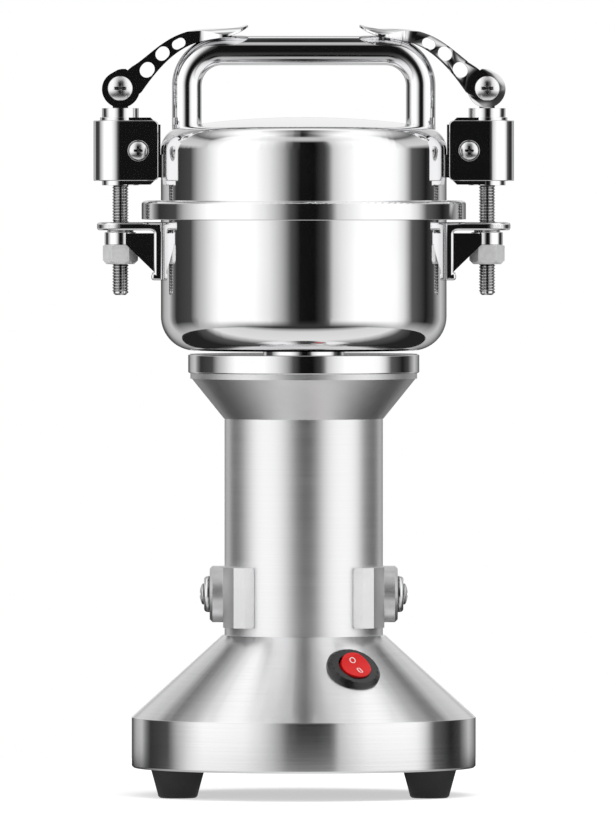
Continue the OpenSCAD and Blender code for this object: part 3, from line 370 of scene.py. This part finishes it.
SKIRT_TOP = (0.0325, 0.0335)  # heights between which the skirt turns into the cone
brushed_steel, tree, shader = new_material("brushed_steel", (0.84, 0.84, 0.845), 1.0, 0.15)
rings = noise_on(tree, 1.0, stretch=(12, 12, 2600), detail=3)
vary_colour(tree, shader, rings, (0.82, 0.82, 0.825), (0.87, 0.87, 0.875))
brush_round_z(tree, shader, 0.9)
grain = math_node(tree, "ADD", math_node(tree, "MULTIPLY", rings, 0.06), -0.03)
link_nodes(tree, math_node(tree, "ADD", steps_at_height(tree, *SKIRT_TOP, 0.13, 0.22), grain),
           shader.inputs["Roughness"])
link_nodes(tree, steps_at_height(tree, *SKIRT_TOP, 0.75, 0.9), shader.inputs["Anisotropic"])

# %% Satin tube of the column
satin_tube, tree, shader = new_material("satin_tube", (0.90, 0.90, 0.905), 1.0, 0.36)
rings = noise_on(tree, 1.0, stretch=(20, 20, 3200), detail=2)
vary_roughness(tree, shader, rings, 0.34, 0.40)
vary_colour(tree, shader, rings, (0.88, 0.88, 0.885), (0.92, 0.92, 0.925))
brush_round_z(tree, shader, 0.45)

# %% Satin casting of the neck and brush covers
satin_cast, tree, shader = new_material("satin_cast", (0.78, 0.78, 0.785), 1.0, 0.40)
grain = noise_on(tree, 1400, detail=2)
vary_roughness(tree, shader, grain, 0.36, 0.45)
vary_colour(tree, shader, noise_on(tree, 60), (0.75, 0.75, 0.755), (0.81, 0.81, 0.815))
add_bump(tree, shader, grain, 0.00001, 0.3)

# %% Bright steel of screws, nuts and rods
fastener_steel, tree, shader = new_material("fastener_steel", (0.80, 0.80, 0.81), 1.0, 0.12)
vary_roughness(tree, shader, noise_on(tree, 400), 0.08, 0.18)
vary_colour(tree, shader, noise_on(tree, 150), (0.76, 0.76, 0.77), (0.84, 0.84, 0.845))

# %% Bright steel of the screw heads
screw_steel, tree, shader = new_material("screw_steel", (0.84, 0.84, 0.845), 1.0, 0.22)
vary_roughness(tree, shader, noise_on(tree, 600), 0.18, 0.27)
vary_colour(tree, shader, noise_on(tree, 150), (0.82, 0.82, 0.825), (0.87, 0.87, 0.875))

def paint_shade_in_hollows(tree, shader, reach, gather):
    """Painted shade: the base colour turns near black in recesses and along seams within that reach; a higher gather
    makes it darker.
    """
    hollow = tree.nodes.new("ShaderNodeAmbientOcclusion")
    hollow.samples = 8
    hollow.inputs["Distance"].default_value = reach
    depth = math_node(tree, "POWER", hollow.outputs["AO"], gather)
    source = shader.inputs["Base Color"].links[0].from_socket
    link_nodes(tree, mix_colour(tree, depth, 0.01, source), shader.inputs["Base Color"])


# Painted shade in the recesses and seams of the screw heads.
paint_shade_in_hollows(tree, shader, 0.0014, 3.5)

# %% Steel of the threaded rods
thread_steel, tree, shader = new_material("thread_steel", (0.80, 0.80, 0.81), 1.0, 0.16)
vary_roughness(tree, shader, noise_on(tree, 400), 0.12, 0.22)
vary_colour(tree, shader, noise_on(tree, 150), (0.78, 0.78, 0.79), (0.84, 0.84, 0.845))
# Painted shade in the roots of the thread.
paint_shade_in_hollows(tree, shader, 0.0010, 3.5)

# %% Satin steel of the lock nuts
nut_steel, tree, shader = new_material("nut_steel", (0.90, 0.90, 0.905), 0.45, 0.42)
grain = noise_on(tree, 500)
vary_roughness(tree, shader, grain, 0.38, 0.46)
vary_colour(tree, shader, grain, (0.87, 0.87, 0.875), (0.93, 0.93, 0.935))

# %% Dark coated sheet
plate_steel, tree, shader = new_material("plate_steel", (0.12, 0.12, 0.13), 0.6, 0.45)
vary_colour(tree, shader, noise_on(tree, 300), (0.10, 0.10, 0.11), (0.15, 0.15, 0.16))

# %% Black rubber
black_rubber, tree, shader = new_material("black_rubber", (0.012, 0.012, 0.013), 0.0, 0.48)
skin = noise_on(tree, 2500, detail=2)
vary_roughness(tree, shader, skin, 0.40, 0.56)
vary_colour(tree, shader, noise_on(tree, 120), (0.010, 0.010, 0.011), (0.018, 0.018, 0.019))
add_bump(tree, shader, skin, 0.00003, 0.4)

# %% Milky seal and red shaft seal
milky_seal, tree, shader = new_material("milky_seal", (0.80, 0.80, 0.78), 0.0, 0.42, 1.41)
vary_colour(tree, shader, noise_on(tree, 200), (0.78, 0.78, 0.76), (0.84, 0.84, 0.82))
red_seal, tree, shader = new_material("red_seal", (0.30, 0.02, 0.015), 0.0, 0.45, 1.41)
vary_colour(tree, shader, noise_on(tree, 200), (0.27, 0.017, 0.013), (0.33, 0.025, 0.018))

# %% Black and red mouldings of the switch
black_gloss, tree, shader = new_material("black_gloss", (0.010, 0.010, 0.011), 0.0, 0.22)
vary_roughness(tree, shader, noise_on(tree, 1500), 0.17, 0.28)
red_gloss, tree, shader = new_material("red_gloss", (0.62, 0.006, 0.006), 0.0, 0.30)
vary_colour(tree, shader, noise_on(tree, 150), (0.58, 0.005, 0.005), (0.66, 0.008, 0.008))
vary_roughness(tree, shader, noise_on(tree, 1800), 0.26, 0.36)
shader.inputs["Specular IOR Level"].default_value = 0.3

# %% Ground steel, laminations, copper, brass, graphite and fan plastic inside
inner_steel, tree, shader = new_material("inner_steel", (0.56, 0.56, 0.58), 1.0, 0.25)
vary_roughness(tree, shader, noise_on(tree, 900), 0.20, 0.32)
lamination, tree, shader = new_material("lamination", (0.28, 0.28, 0.31), 0.9, 0.45)
sheets = noise_on(tree, 1.0, stretch=(5, 5, 2000), detail=1)
vary_colour(tree, shader, sheets, (0.22, 0.22, 0.25), (0.34, 0.34, 0.37))
add_bump(tree, shader, sheets, 0.0001)
copper, tree, shader = new_material("copper", (0.72, 0.33, 0.14), 1.0, 0.30)
vary_colour(tree, shader, noise_on(tree, 700), (0.66, 0.29, 0.12), (0.78, 0.37, 0.16))
brass, tree, shader = new_material("brass", (0.80, 0.60, 0.26), 1.0, 0.25)
vary_roughness(tree, shader, noise_on(tree, 600), 0.18, 0.32)
graphite, tree, shader = new_material("graphite", (0.05, 0.05, 0.05), 0.0, 0.7)
vary_colour(tree, shader, noise_on(tree, 2500), (0.04, 0.04, 0.04), (0.07, 0.07, 0.07))
fan_plastic, tree, shader = new_material("fan_plastic", (0.03, 0.03, 0.035), 0.0, 0.5)
vary_roughness(tree, shader, noise_on(tree, 1200), 0.42, 0.6)
print(len(bpy.data.materials), "materials so far")


# %% [markdown]
# ## Dress the solids
#
# Most of the machined solids are right as they are and only need their finish.

# %% Give each solid its finish
FINISH_OF_SLOT = {
    "brushed_steel": brushed_steel, "satin_aluminium": satin_cast, "polished_steel": mirror_steel,
    "fastener_steel": fastener_steel, "plate_steel": plate_steel, "black_rubber": black_rubber,
    "white_silicone": milky_seal, "red_silicone": red_seal, "black_plastic": black_gloss,
    "red_plastic": red_gloss, "inner_steel": inner_steel, "lamination": lamination, "copper": copper,
    "brass": brass, "carbon": graphite, "fan_plastic": fan_plastic,
}
for part in frame["record"]["subparts"]:
    solid = nodes[part["node"]]
    solid.data.materials.clear()
    solid.data.materials.append(FINISH_OF_SLOT[part["material_slot"]])
for name in ("clamp_nut_l", "clamp_nut_r"):
    nodes[name].data.materials[0] = nut_steel
nodes["column_tube"].data.materials[0] = satin_tube
print("dressed", len(nodes), "solids")


# %% [markdown]
# ## Broken edges
#
# No edge of pressed steel is knife sharp. A tumbler or a file breaks it, and on polished metal this narrow rim catches
# the light as a bright line around a dark face. The sharp solids are right in size, so a copy of each is merged into
# one skin, its flat faces are dissolved to clean polygons, and a Bevel modifier rounds the edges. Weighted normals keep
# the flats flat between the rims. The widths below are what is asked for. The modifier's overlap clamp allows less on
# most pieces: the strap and collar get it all, the lid, sleeve, base and nut a part, and the ear, brush covers, bezel
# and rocker next to nothing. The brackets' sides are rounded with the clamp off.

# %% Modelling helpers
MERGE = 0.000002  # loose triangles of a solid closer than this become one skin


def object_mode():
    """Leaves edit mode and deselects everything."""
    if bpy.context.mode != "OBJECT":
        bpy.ops.object.mode_set(mode="OBJECT")
    bpy.ops.object.select_all(action="DESELECT")


def pick(piece):
    """Makes one piece the only selected and active object."""
    object_mode()
    piece.select_set(True)
    bpy.context.view_layer.objects.active = piece


def edit(piece, chosen="SELECT"):
    """Opens a piece in edit mode with all or nothing selected."""
    pick(piece)
    bpy.ops.object.mode_set(mode="EDIT")
    bpy.ops.mesh.select_all(action=chosen)


def apply_modifiers(piece):
    """Applies every modifier of a piece, top to bottom."""
    pick(piece)
    for name in [m.name for m in piece.modifiers]:
        bpy.ops.object.modifier_apply(modifier=name)


def bake_place(piece):
    """Moves a piece's place, turn and size into its mesh."""
    pick(piece)
    bpy.ops.object.transform_apply(location=True, rotation=True, scale=True)


def smooth(piece, degrees=30):
    """Smooth shading with sharp edges past that angle."""
    pick(piece)
    bpy.ops.object.shade_smooth_by_angle(angle=math.radians(degrees))


def dress(piece, material, slot, body, *solids):
    """Gives a finished piece its material, body and the solids it stands for; the slot is not used."""
    piece.data.materials.clear()
    piece.data.materials.append(material)
    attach(piece, body)
    if solids:
        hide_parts(*solids)


def slot_of(node):
    """The record's material slot of a solid."""
    return next(p["material_slot"] for p in frame["record"]["subparts"] if p["node"] == node)


# %% Places on the switch
SWITCH_FRAME = (Matrix.Rotation(math.radians(-65), 4, "Z") @ Matrix.Translation((0.04945, 0, 0.0547))
                @ Matrix.Rotation(math.radians(42.274), 4, "Y"))
ROCKER_FRAME = (SWITCH_FRAME @ Matrix.Rotation(math.radians(17.4), 4, "Z") @ Matrix.Translation((0, 0, -0.0015))
                @ Matrix.Rotation(math.radians(7), 4, "Y"))
ROCKER_UP = 0.0010
ROD_X = 0.0779

# %% Round the rims of a solid's copy
def flatten(piece):
    """Smooth shading in which large flat faces keep their own direction and only the rims turn."""
    smooth(piece, 35)
    weighted = piece.modifiers.new("flats", "WEIGHTED_NORMAL")
    weighted.keep_sharp = True
    weighted.weight = 100
    apply_modifiers(piece)


def broken_edges(node, width, segments=2, angle=40, nudge=None, wide=None):
    """A copy of a solid with the edges past the angle rounded off, as far as the overlap clamp allows. A nudge of
    (frame, height, move) shifts what lies above that height in a frame along the frame's Z. Wide, as (half width,
    radius), rounds the edges of the side faces and of the nose round the rod over more, with the clamp off."""
    solid = nodes[node]
    piece = bpy.data.objects.new(node + "_rimmed", solid.data.copy())
    bpy.context.scene.collection.objects.link(piece)
    edit(piece)
    bpy.ops.mesh.customdata_custom_splitnormals_clear()
    bpy.ops.mesh.remove_doubles(threshold=MERGE)
    bpy.ops.mesh.dissolve_limited(angle_limit=math.radians(0.3))
    object_mode()
    if nudge:
        place, height, move = nudge
        inverse = place.inverted()
        edit(piece, "DESELECT")
        object_mode()
        for v in piece.data.vertices:
            v.select = (inverse @ v.co).z > height
        pick(piece)
        bpy.ops.object.mode_set(mode="EDIT")
        bpy.ops.transform.translate(value=place.to_3x3() @ Vector((0, 0, move)))
        object_mode()
    if wide:
        half, radius = wide
        group = piece.vertex_groups.new(name="wide")
        group.add([v.index for v in piece.data.vertices
                   if math.hypot(max(abs(v.co.x) - ROD_X, 0), v.co.y) > half], 1.0, "REPLACE")
        round_over = piece.modifiers.new("wide", "BEVEL")
        round_over.width = radius
        round_over.segments = 5
        round_over.use_clamp_overlap = False
        round_over.limit_method = "VGROUP"
        round_over.vertex_group = "wide"
        apply_modifiers(piece)
    bevel = piece.modifiers.new("rim", "BEVEL")
    bevel.width = width
    bevel.segments = segments
    bevel.limit_method = "ANGLE"
    bevel.angle_limit = math.radians(angle)
    apply_modifiers(piece)
    flatten(piece)
    dress(piece, solid.data.materials[0], slot_of(node), solid["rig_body"], node)
    return piece


rimmed = []
for side in ("l", "r"):
    rimmed.append(broken_edges("clamp_strap_" + side, 0.00045, 3))
    rimmed.append(broken_edges("lid_ear_" + side, 0.0003))
    rimmed.append(broken_edges("clamp_sleeve_" + side, 0.0003))
    rimmed.append(broken_edges("bowl_bracket_" + side, 0.0003, 2, wide=(0.0098, 0.0011)))
    rimmed.append(broken_edges("clamp_collar_" + side, 0.0003))
    rimmed.append(broken_edges("clamp_nut_" + side, 0.0002))
rimmed.append(broken_edges("brush_covers", 0.0008, 3, 25))
rimmed.append(broken_edges("base_shell", 0.0005, 3, 30))
rimmed.append(broken_edges("lid_shell", 0.0009, 4, 50))
rimmed.append(broken_edges("switch_bezel", 0.0004, 3, 30, (SWITCH_FRAME, 0.0025, -0.0009)))
rimmed.append(broken_edges("switch_rocker", 0.0005, 3, 30, (ROCKER_FRAME, 0.0025, ROCKER_UP)))
print("rounded the rims of", len(rimmed), "pieces;", sum(len(p.data.polygons) for p in rimmed), "faces")


# %% Smooth the handle
def resmoothed(node, degrees=40):
    """A merged copy of a solid with smooth shading of its own."""
    solid = nodes[node]
    piece = bpy.data.objects.new(node + "_smooth", solid.data.copy())
    bpy.context.scene.collection.objects.link(piece)
    edit(piece)
    bpy.ops.mesh.customdata_custom_splitnormals_clear()
    bpy.ops.mesh.remove_doubles(threshold=MERGE)
    object_mode()
    smooth(piece, degrees)
    dress(piece, solid.data.materials[0], slot_of(node), solid["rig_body"], node)
    return piece


print("smoothed", resmoothed("handle_tube").name)


# %% [markdown]
# ## Threaded rods
#
# Each clamp hangs on a threaded rod. A thread is one V drawn along a helix, and the Screw modifier does exactly that:
# it turns a short zigzag line round the rod's axis while it climbs one pitch per turn. The zigzag is drawn by
# extruding a single point. A plain core fills the inside and carries the turned end, and the flat tongue and eye at the
# top come from the solid, whose round shank is drawn in under the roots of the thread.

# %% Draw a line by extruding a point
def drawn_line(name, points):
    """A line of edges through the points, made by extruding one vertex."""
    object_mode()
    bpy.ops.mesh.primitive_plane_add(size=0.001, location=(0, 0, 0))
    line = bpy.context.active_object
    line.name = name
    edit(line)
    bpy.ops.mesh.merge(type="CENTER")
    here = Vector((0, 0, 0))
    for i, point in enumerate(points):
        step = Vector(point) - here
        if i == 0:
            bpy.ops.transform.translate(value=step)
        else:
            bpy.ops.mesh.extrude_region_move(TRANSFORM_OT_translate={"value": step})
        here = Vector(point)
    object_mode()
    return line


# %% Turn a line into a round piece
def turned(name, outline, steps=96):
    """A round piece about +Z from an outline of (radius, height) points. An outline that starts and ends on the axis
    or meets itself gives a closed skin."""
    line = drawn_line(name, [(r, 0, z) for r, z in outline])
    edit(line)
    bpy.ops.mesh.spin(steps=steps, angle=2 * math.pi, center=(0, 0, 0), axis=(0, 0, 1))
    bpy.ops.mesh.select_all(action="SELECT")
    bpy.ops.mesh.remove_doubles(threshold=0.000001)
    bpy.ops.mesh.normals_make_consistent(inside=False)
    object_mode()
    return line


# %% Thread one rod
ROD_R = 0.0035
ROD_Z0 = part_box("clamp_rod_r")[0][2]
THREAD_DEPTH = 0.0006
THREAD_PITCH = 0.00125
SHANK_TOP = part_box("clamp_sleeve_r")[0][2]


def threaded_rod(side, x):
    """Rod with a helical thread from its end up into the clamp's sleeve, and the solid's tongue and eye on top."""
    root = ROD_R - THREAD_DEPTH
    turns = int((SHANK_TOP + 0.003 - ROD_Z0 - 0.0008) / THREAD_PITCH)
    z0 = ROD_Z0 + 0.0006
    ridge = drawn_line("thread_" + side, [(root, 0, 0), (ROD_R - 0.00005, 0, 0.44 * THREAD_PITCH),
                                         (ROD_R - 0.00005, 0, 0.56 * THREAD_PITCH), (root, 0, THREAD_PITCH)])
    helix = ridge.modifiers.new("helix", "SCREW")
    helix.screw_offset = THREAD_PITCH
    helix.iterations = turns
    helix.steps = helix.render_steps = 28
    helix.use_merge_vertices = True
    helix.merge_threshold = 0.000001
    apply_modifiers(ridge)
    edit(ridge)
    bpy.ops.mesh.normals_make_consistent(inside=False)
    bpy.ops.transform.translate(value=(x, 0, z0))
    core = turned("rod_core_" + side, [(0, ROD_Z0), (root - 0.0006, ROD_Z0), (root + 0.0001, ROD_Z0 + 0.0007),
                                       (root + 0.0001, SHANK_TOP + 0.004), (0, SHANK_TOP + 0.004)], 32)
    edit(core)
    bpy.ops.transform.translate(value=(x, 0, 0))
    solid = nodes["clamp_rod_" + side]
    top = bpy.data.objects.new("rod_top_" + side, solid.data.copy())
    bpy.context.scene.collection.objects.link(top)
    edit(top)
    bpy.ops.mesh.customdata_custom_splitnormals_clear()
    bpy.ops.mesh.remove_doubles(threshold=MERGE)
    object_mode()
    for v in top.data.vertices:
        v.select = v.co.z < SHANK_TOP
    bpy.context.view_layer.objects.active = top
    top.select_set(True)
    bpy.ops.object.mode_set(mode="EDIT")
    bpy.ops.transform.resize(value=(0.5, 0.5, 1), center_override=(x, 0, 0))
    bpy.ops.transform.translate(value=(0, 0, 0.001))
    object_mode()
    for part in (core, top, ridge):
        part.select_set(True)
    bpy.context.view_layer.objects.active = ridge
    bpy.ops.object.join()
    smooth(ridge, 40)
    dress(ridge, thread_steel, "fastener_steel", solid["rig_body"], solid.name)
    return ridge


for side, x in (("l", -ROD_X), ("r", ROD_X)):
    rod = threaded_rod(side, x)
    print(rod.name, len(rod.data.polygons), "faces")


# %% [markdown]
# ## Clamp levers
#
# Each lever is one forging: a round cam head, a flat arm with three lightening holes and a thumb paddle. It is cut out
# of plate the way a sculptor would block it: the side view is drawn and extruded, then kept only where it lies inside
# the plan view and under a long cylinder that gives the paddle its arch. The flat sides stay flat up to the paddle,
# because a mirror-bright side shows black only while it faces the camera squarely. The holes, the fork and the pin
# bore are cut last and every edge gets a narrow rim.

# %% Solids from an outline, and cutting one with another
def plate_from(name, points, depth):
    """A closed outline, filled and extruded by a vector."""
    plate = drawn_line(name, points)
    edit(plate)
    bpy.ops.mesh.edge_face_add()
    bpy.ops.mesh.extrude_region_move(TRANSFORM_OT_translate={"value": depth})
    bpy.ops.mesh.select_all(action="SELECT")
    bpy.ops.mesh.normals_make_consistent(inside=False)
    object_mode()
    return plate


def carve(piece, tool, operation="DIFFERENCE"):
    """A boolean of a piece with a tool, which is then thrown away."""
    bpy.context.view_layer.update()
    cut = piece.modifiers.new("carve", "BOOLEAN")
    cut.operation = operation
    cut.solver = "EXACT"
    cut.object = tool
    apply_modifiers(piece)
    pick(tool)
    bpy.ops.object.delete()


def quartic(controls, steps):
    """Points along a Bezier curve of degree four."""
    points = []
    for i in range(steps + 1):
        t = i / steps
        shares = [math.comb(4, k) * (1 - t) ** (4 - k) * t ** k for k in range(5)]
        points.append(tuple(sum(s * c[axis] for s, c in zip(shares, controls)) for axis in (0, 1)))
    return points


def polar(radius, degrees):
    """A point at that radius and angle."""
    return radius * math.cos(math.radians(degrees)), radius * math.sin(math.radians(degrees))


# %% Block out the lever
def side_view(points, half):
    """Points of a side view in mm as a plate of that half width."""
    return plate_from("side", [(x / 1000, -half, z / 1000) for x, z in points], (0, 2 * half, 0))


ARM_TOP = [(5.0, 9.3), (15.1, 14.7), (26.2, 33.7), (41.9, 21.1), (54.0, 27.4)]
ARM_BOTTOM = [(9.0, -1.5), (14.2, 5.9), (30.5, 30.0), (39.6, 15.1), (54.3, 26.1)]
ARM_HALF, PADDLE_HALF, TIP_X = 0.0068, 0.0105, 0.0544
head = [polar(8.3 - 0.9 * a / 150, -90 - a) for a in range(0, 151, 6)]
head += [polar(8.0, 97.5), polar(8.3, 86), polar(8.6, 75)]
head += [polar(8.3, 75 - 165 * i / 24) for i in range(1, 24)]
arm = side_view([(0, 5)] + quartic(ARM_TOP, 40) + quartic(ARM_BOTTOM, 40)[::-1] + [(6, -4), (0, -4)], PADDLE_HALF)
widening = [(0.0335 + 0.0104 * u, ARM_HALF + (PADDLE_HALF - ARM_HALF) * (3 * u ** 2 - 2 * u ** 3))
            for u in (i / 12 for i in range(13))]
tip = [(TIP_X - PADDLE_HALF + PADDLE_HALF * math.sin(a), PADDLE_HALF * math.cos(a))
       for a in (math.pi / 2 * i / 14 for i in range(1, 15))]
half_plan = [(-0.001, ARM_HALF)] + widening + tip
plan = plate_from("plan", [(x, y, -0.01) for x, y in half_plan] + [(x, -y, -0.01) for x, y in half_plan[-2::-1]],
                  (0, 0, 0.05))
carve(arm, plan, "INTERSECT")
bpy.ops.mesh.primitive_cylinder_add(vertices=256, radius=0.017, depth=0.08, location=(0.03, 0, 0.00861),
                                    rotation=(0, math.radians(86.5), 0))
ridge_tool = bpy.context.active_object
bake_place(ridge_tool)
carve(arm, ridge_tool, "INTERSECT")
lever = side_view(head, ARM_HALF)
carve(lever, arm, "UNION")
ARM_SLOTS = [(11.4, 7.9, -52, 0.8, 3.0), (17.9, 14.8, -45, 1.0, 2.7), (24.8, 19.0, -28, 1.8, 2.1)]
for x, z, turn, length, radius in ARM_SLOTS:
    slot = [polar(radius, -90 + 180 * i / 24) for i in range(25)]
    slot = [(length / 2 + px, pz) for px, pz in slot] + [(-length / 2 - px, -pz) for px, pz in slot]
    c, d = math.cos(math.radians(turn)), math.sin(math.radians(turn))
    carve(lever, side_view([(x + c * px + d * pz, z - d * px + c * pz) for px, pz in slot], 0.02))
carve(lever, side_view([polar(7.0, 7.5 * i) for i in range(48)], 0.0031))
carve(lever, side_view([(6.9, 0), (6.9, -12), (-12, -12), (-12, 14), (-0.03, 13.84), (5.97, 3.45)], 0.0031))
rim = lever.modifiers.new("rim", "BEVEL")
rim.width = 0.00035
rim.segments = 2
rim.limit_method = "ANGLE"
rim.angle_limit = math.radians(40)
apply_modifiers(lever)
flatten(lever)
print("lever:", len(lever.data.polygons), "faces")

# %% Hang a lever on each clamp
PIVOT_Z = 0.30045
pick(lever)
bpy.ops.object.duplicate()
other = bpy.context.active_object
for piece, side, way in ((lever, "l", 1), (other, "r", -1)):
    piece.name = "clamp_lever_" + side + "_made"
    piece.scale = (way, 1, 1)
    piece.location = (-way * ROD_X, 0, PIVOT_Z)
    bake_place(piece)
    edit(piece)
    bpy.ops.mesh.normals_make_consistent(inside=False)
    object_mode()
    node = "clamp_lever_" + side
    dress(piece, mirror_steel, slot_of(node), nodes[node]["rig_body"], node)


# %% [markdown]
# ## Cross recess screws
#
# A screw head is forged as a low dome with a rounded rim, and a punch presses the four winged recess into it. The dome
# is an arc turned about its own axis. The punch is a block with rounded corners that gets narrower downwards, cut out
# twice, the second time a quarter turn further, and the recess then gets a small rim of its own, because on bright
# steel the wings show mostly through that rim.

# %% The outline of a domed head
def dome(radius, height, side, edge, steps=9):
    """(radius, height) points from the foot of a head to its crown: a side, a rounded rim and a low arc."""
    sink = height - side - edge
    inner = ((radius - edge) ** 2 + sink ** 2) / (2 * sink)
    crown = inner + edge
    tilt = math.asin((radius - edge) / inner)
    rim = [(radius - edge + edge * math.sin(a), side + edge * math.cos(a))
           for a in (tilt + (math.pi / 2 - tilt) * (1 - i / 6) for i in range(7))]
    arc = [(crown * math.sin(tilt * (1 - i / steps)), height - crown + crown * math.cos(tilt * (1 - i / steps)))
           for i in range(1, steps)]
    return rim + arc + [(0, height)]


# %% Press the recess and set the screw in place
def cross_screw(name, outline, span, depth, place, turn):
    """A screw turned from an outline, with a cross recess, its axis turned about X or Y by (rx, ry)."""
    screw = turned(name, outline, 72)
    top = outline[-1][1]
    for quarter in (0, 90):
        bpy.ops.mesh.primitive_cylinder_add(vertices=4, radius=math.sqrt(0.5), depth=1, end_fill_type="NGON",
                                            rotation=(0, 0, math.pi / 4))
        punch = bpy.context.active_object
        bake_place(punch)
        edit(punch, "DESELECT")
        object_mode()
        for v in punch.data.vertices:
            v.select = v.co.z < 0
        pick(punch)
        bpy.ops.object.mode_set(mode="EDIT")
        bpy.ops.transform.resize(value=(0.62, 0.62, 1), center_override=(0, 0, -0.5))
        bpy.ops.mesh.select_all(action="SELECT")
        bpy.ops.transform.resize(value=(span, 0.28 * span, 2 * depth), center_override=(0, 0, 0))
        bpy.ops.mesh.bevel(offset=0.06 * span, segments=4)
        bpy.ops.transform.rotate(value=math.radians(quarter), orient_axis="Z", center_override=(0, 0, 0))
        bpy.ops.transform.translate(value=(0, 0, top))
        object_mode()
        carve(screw, punch)
    rim = screw.modifiers.new("rim", "BEVEL")
    rim.width = 0.00012
    rim.segments = 2
    rim.limit_method = "ANGLE"
    rim.angle_limit = math.radians(45)
    apply_modifiers(screw)
    screw.rotation_euler = (math.radians(turn[0]), math.radians(turn[1]), 0)
    screw.location = place
    bake_place(screw)
    smooth(screw, 50)
    return screw


def joined(name, pieces):
    """Pieces joined into the first one."""
    object_mode()
    for piece in pieces:
        piece.select_set(True)
    bpy.context.view_layer.objects.active = pieces[0]
    bpy.ops.object.join()
    pieces[0].name = name
    return pieces[0]


# %% Screws of the levers, the straps and the brush caps
for side in ("l", "r"):
    solid = nodes["lever_screw_" + side]
    low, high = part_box(solid.name)
    x, z = (low[0] + high[0]) / 2, (low[2] + high[2]) / 2
    face = low[1] + 0.0022
    nut_y = high[1] - 0.0026
    head = cross_screw("lever_screw_head_" + side,
                       [(0, face - nut_y), (0.0024, face - nut_y), (0.0024, 0)] + dome(0.00525, 0.0022, 0.0003, 0.0006),
                       0.0062, 0.0015, (x, face, z), (90, 0))
    bpy.ops.mesh.primitive_cylinder_add(vertices=6, radius=0.005, depth=0.0026, location=(x, nut_y + 0.0013, z),
                                        rotation=(math.radians(90), 0, 0))
    nut = bpy.context.active_object
    bake_place(nut)
    chamfer = nut.modifiers.new("rim", "BEVEL")
    chamfer.width = 0.0003
    chamfer.segments = 2
    apply_modifiers(nut)
    smooth(nut, 35)
    dress(joined("lever_screw_" + side + "_made", [head, nut]), screw_steel, slot_of(solid.name), solid["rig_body"],
          solid.name)
    solid = nodes["strap_screws_" + side]
    low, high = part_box(solid.name)
    x, z = (low[0] + high[0]) / 2, (low[2] + high[2]) / 2
    seat = high[1] - 0.0019
    outline = [(0, -0.0055), (0.0019, -0.0055), (0.0019, 0), (0.0045, 0), (0.0045, 0.00035), (0.00435, 0.0005),
               (0.0039, 0.0005)] + dome(0.0038, 0.0019, 0.0006, 0.0005)
    pair = [cross_screw("strap_screw_%s_%d" % (side, turn), outline, 0.0046, 0.0013,
                        (x, -seat if turn > 0 else seat, z), (turn, 0)) for turn in (90, -90)]
    dress(joined("strap_screws_" + side + "_made", pair), screw_steel, slot_of(solid.name), solid["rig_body"],
          solid.name)
low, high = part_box("brush_screws")
seat = high[0] - 0.00425
outline = [(0, -0.0029), (0.005, -0.0029), (0.005, 0), (0.0077, 0), (0.0077, 0.0009), (0.00755, 0.0016),
           (0.00715, 0.0021), (0.0065, 0.0024), (0.0049, 0.0024), (0.0047, 0.0021), (0.0045, 0.0021)]
outline += [(r, 0.0021 + h) for r, h in dome(0.0045, 0.00215, 0.0006, 0.0007)]
caps = [cross_screw("brush_cap_%d" % turn, outline, 0.0056, 0.0015,
                    (seat if turn > 0 else -seat, 0, (low[2] + high[2]) / 2), (0, turn)) for turn in (90, -90)]
dress(joined("brush_screws_made", caps), screw_steel, slot_of("brush_screws"), nodes["brush_screws"]["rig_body"],
      "brush_screws")
print("made the cross recess screws")


# %% [markdown]
# ## Marks on the rocker
#
# The rocker carries a ring at one end and a smaller, stretched ring at the other, printed in white. Each is a thin
# torus pressed flat and laid on the hollow of the face; the stretched one has its two halves moved apart.
# They ride on the rocker's body and stay on it when it tilts.

# %% Print the marks
mark_white, tree, shader = new_material("mark_white", (0.86, 0.85, 0.84), 0.0, 0.35)
vary_colour(tree, shader, noise_on(tree, 900), (0.82, 0.81, 0.80), (0.88, 0.87, 0.86))
HOLLOW_R, HOLLOW_Z = 0.015, 0.0186 + ROCKER_UP


def rocker_mark(name, x, ring_r, stretch):
    """A flat ring on the rocker's face at x, its halves moved apart along the rocker."""
    object_mode()
    bpy.ops.mesh.primitive_torus_add(major_radius=ring_r, minor_radius=0.00021, major_segments=48, minor_segments=10)
    mark = bpy.context.active_object
    mark.name = name
    for side in (-1, 1):
        edit(mark, "DESELECT")
        object_mode()
        for v in mark.data.vertices:
            v.select = v.co.x * side > 0.00001
        pick(mark)
        bpy.ops.object.mode_set(mode="EDIT")
        bpy.ops.transform.translate(value=(side * stretch, 0, 0))
        object_mode()
    mark.scale = (1, 1, 0.45)
    bake_place(mark)
    lean = math.asin(x / HOLLOW_R)
    mark.matrix_world = ROCKER_FRAME @ Matrix.Translation((x, 0, HOLLOW_Z - HOLLOW_R * math.cos(lean))) \
        @ Matrix.Rotation(-lean, 4, "Y")
    bake_place(mark)
    smooth(mark, 60)
    return mark


marks = joined("rocker_marks", [rocker_mark("mark_ring", -0.0029, 0.00125, 0),
                                rocker_mark("mark_bar", 0.0029, 0.0007, 0.0008)])
dress(marks, mark_white, slot_of("switch_rocker"), nodes["switch_rocker"]["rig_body"])
print("printed the rocker's marks:", len(marks.data.polygons), "faces")


# %% [markdown]
# ## Look settings and the end
#
# The view transform is Standard, so that white stays white.

# %% Finish
bpy.context.scene.view_settings.view_transform = "Standard"
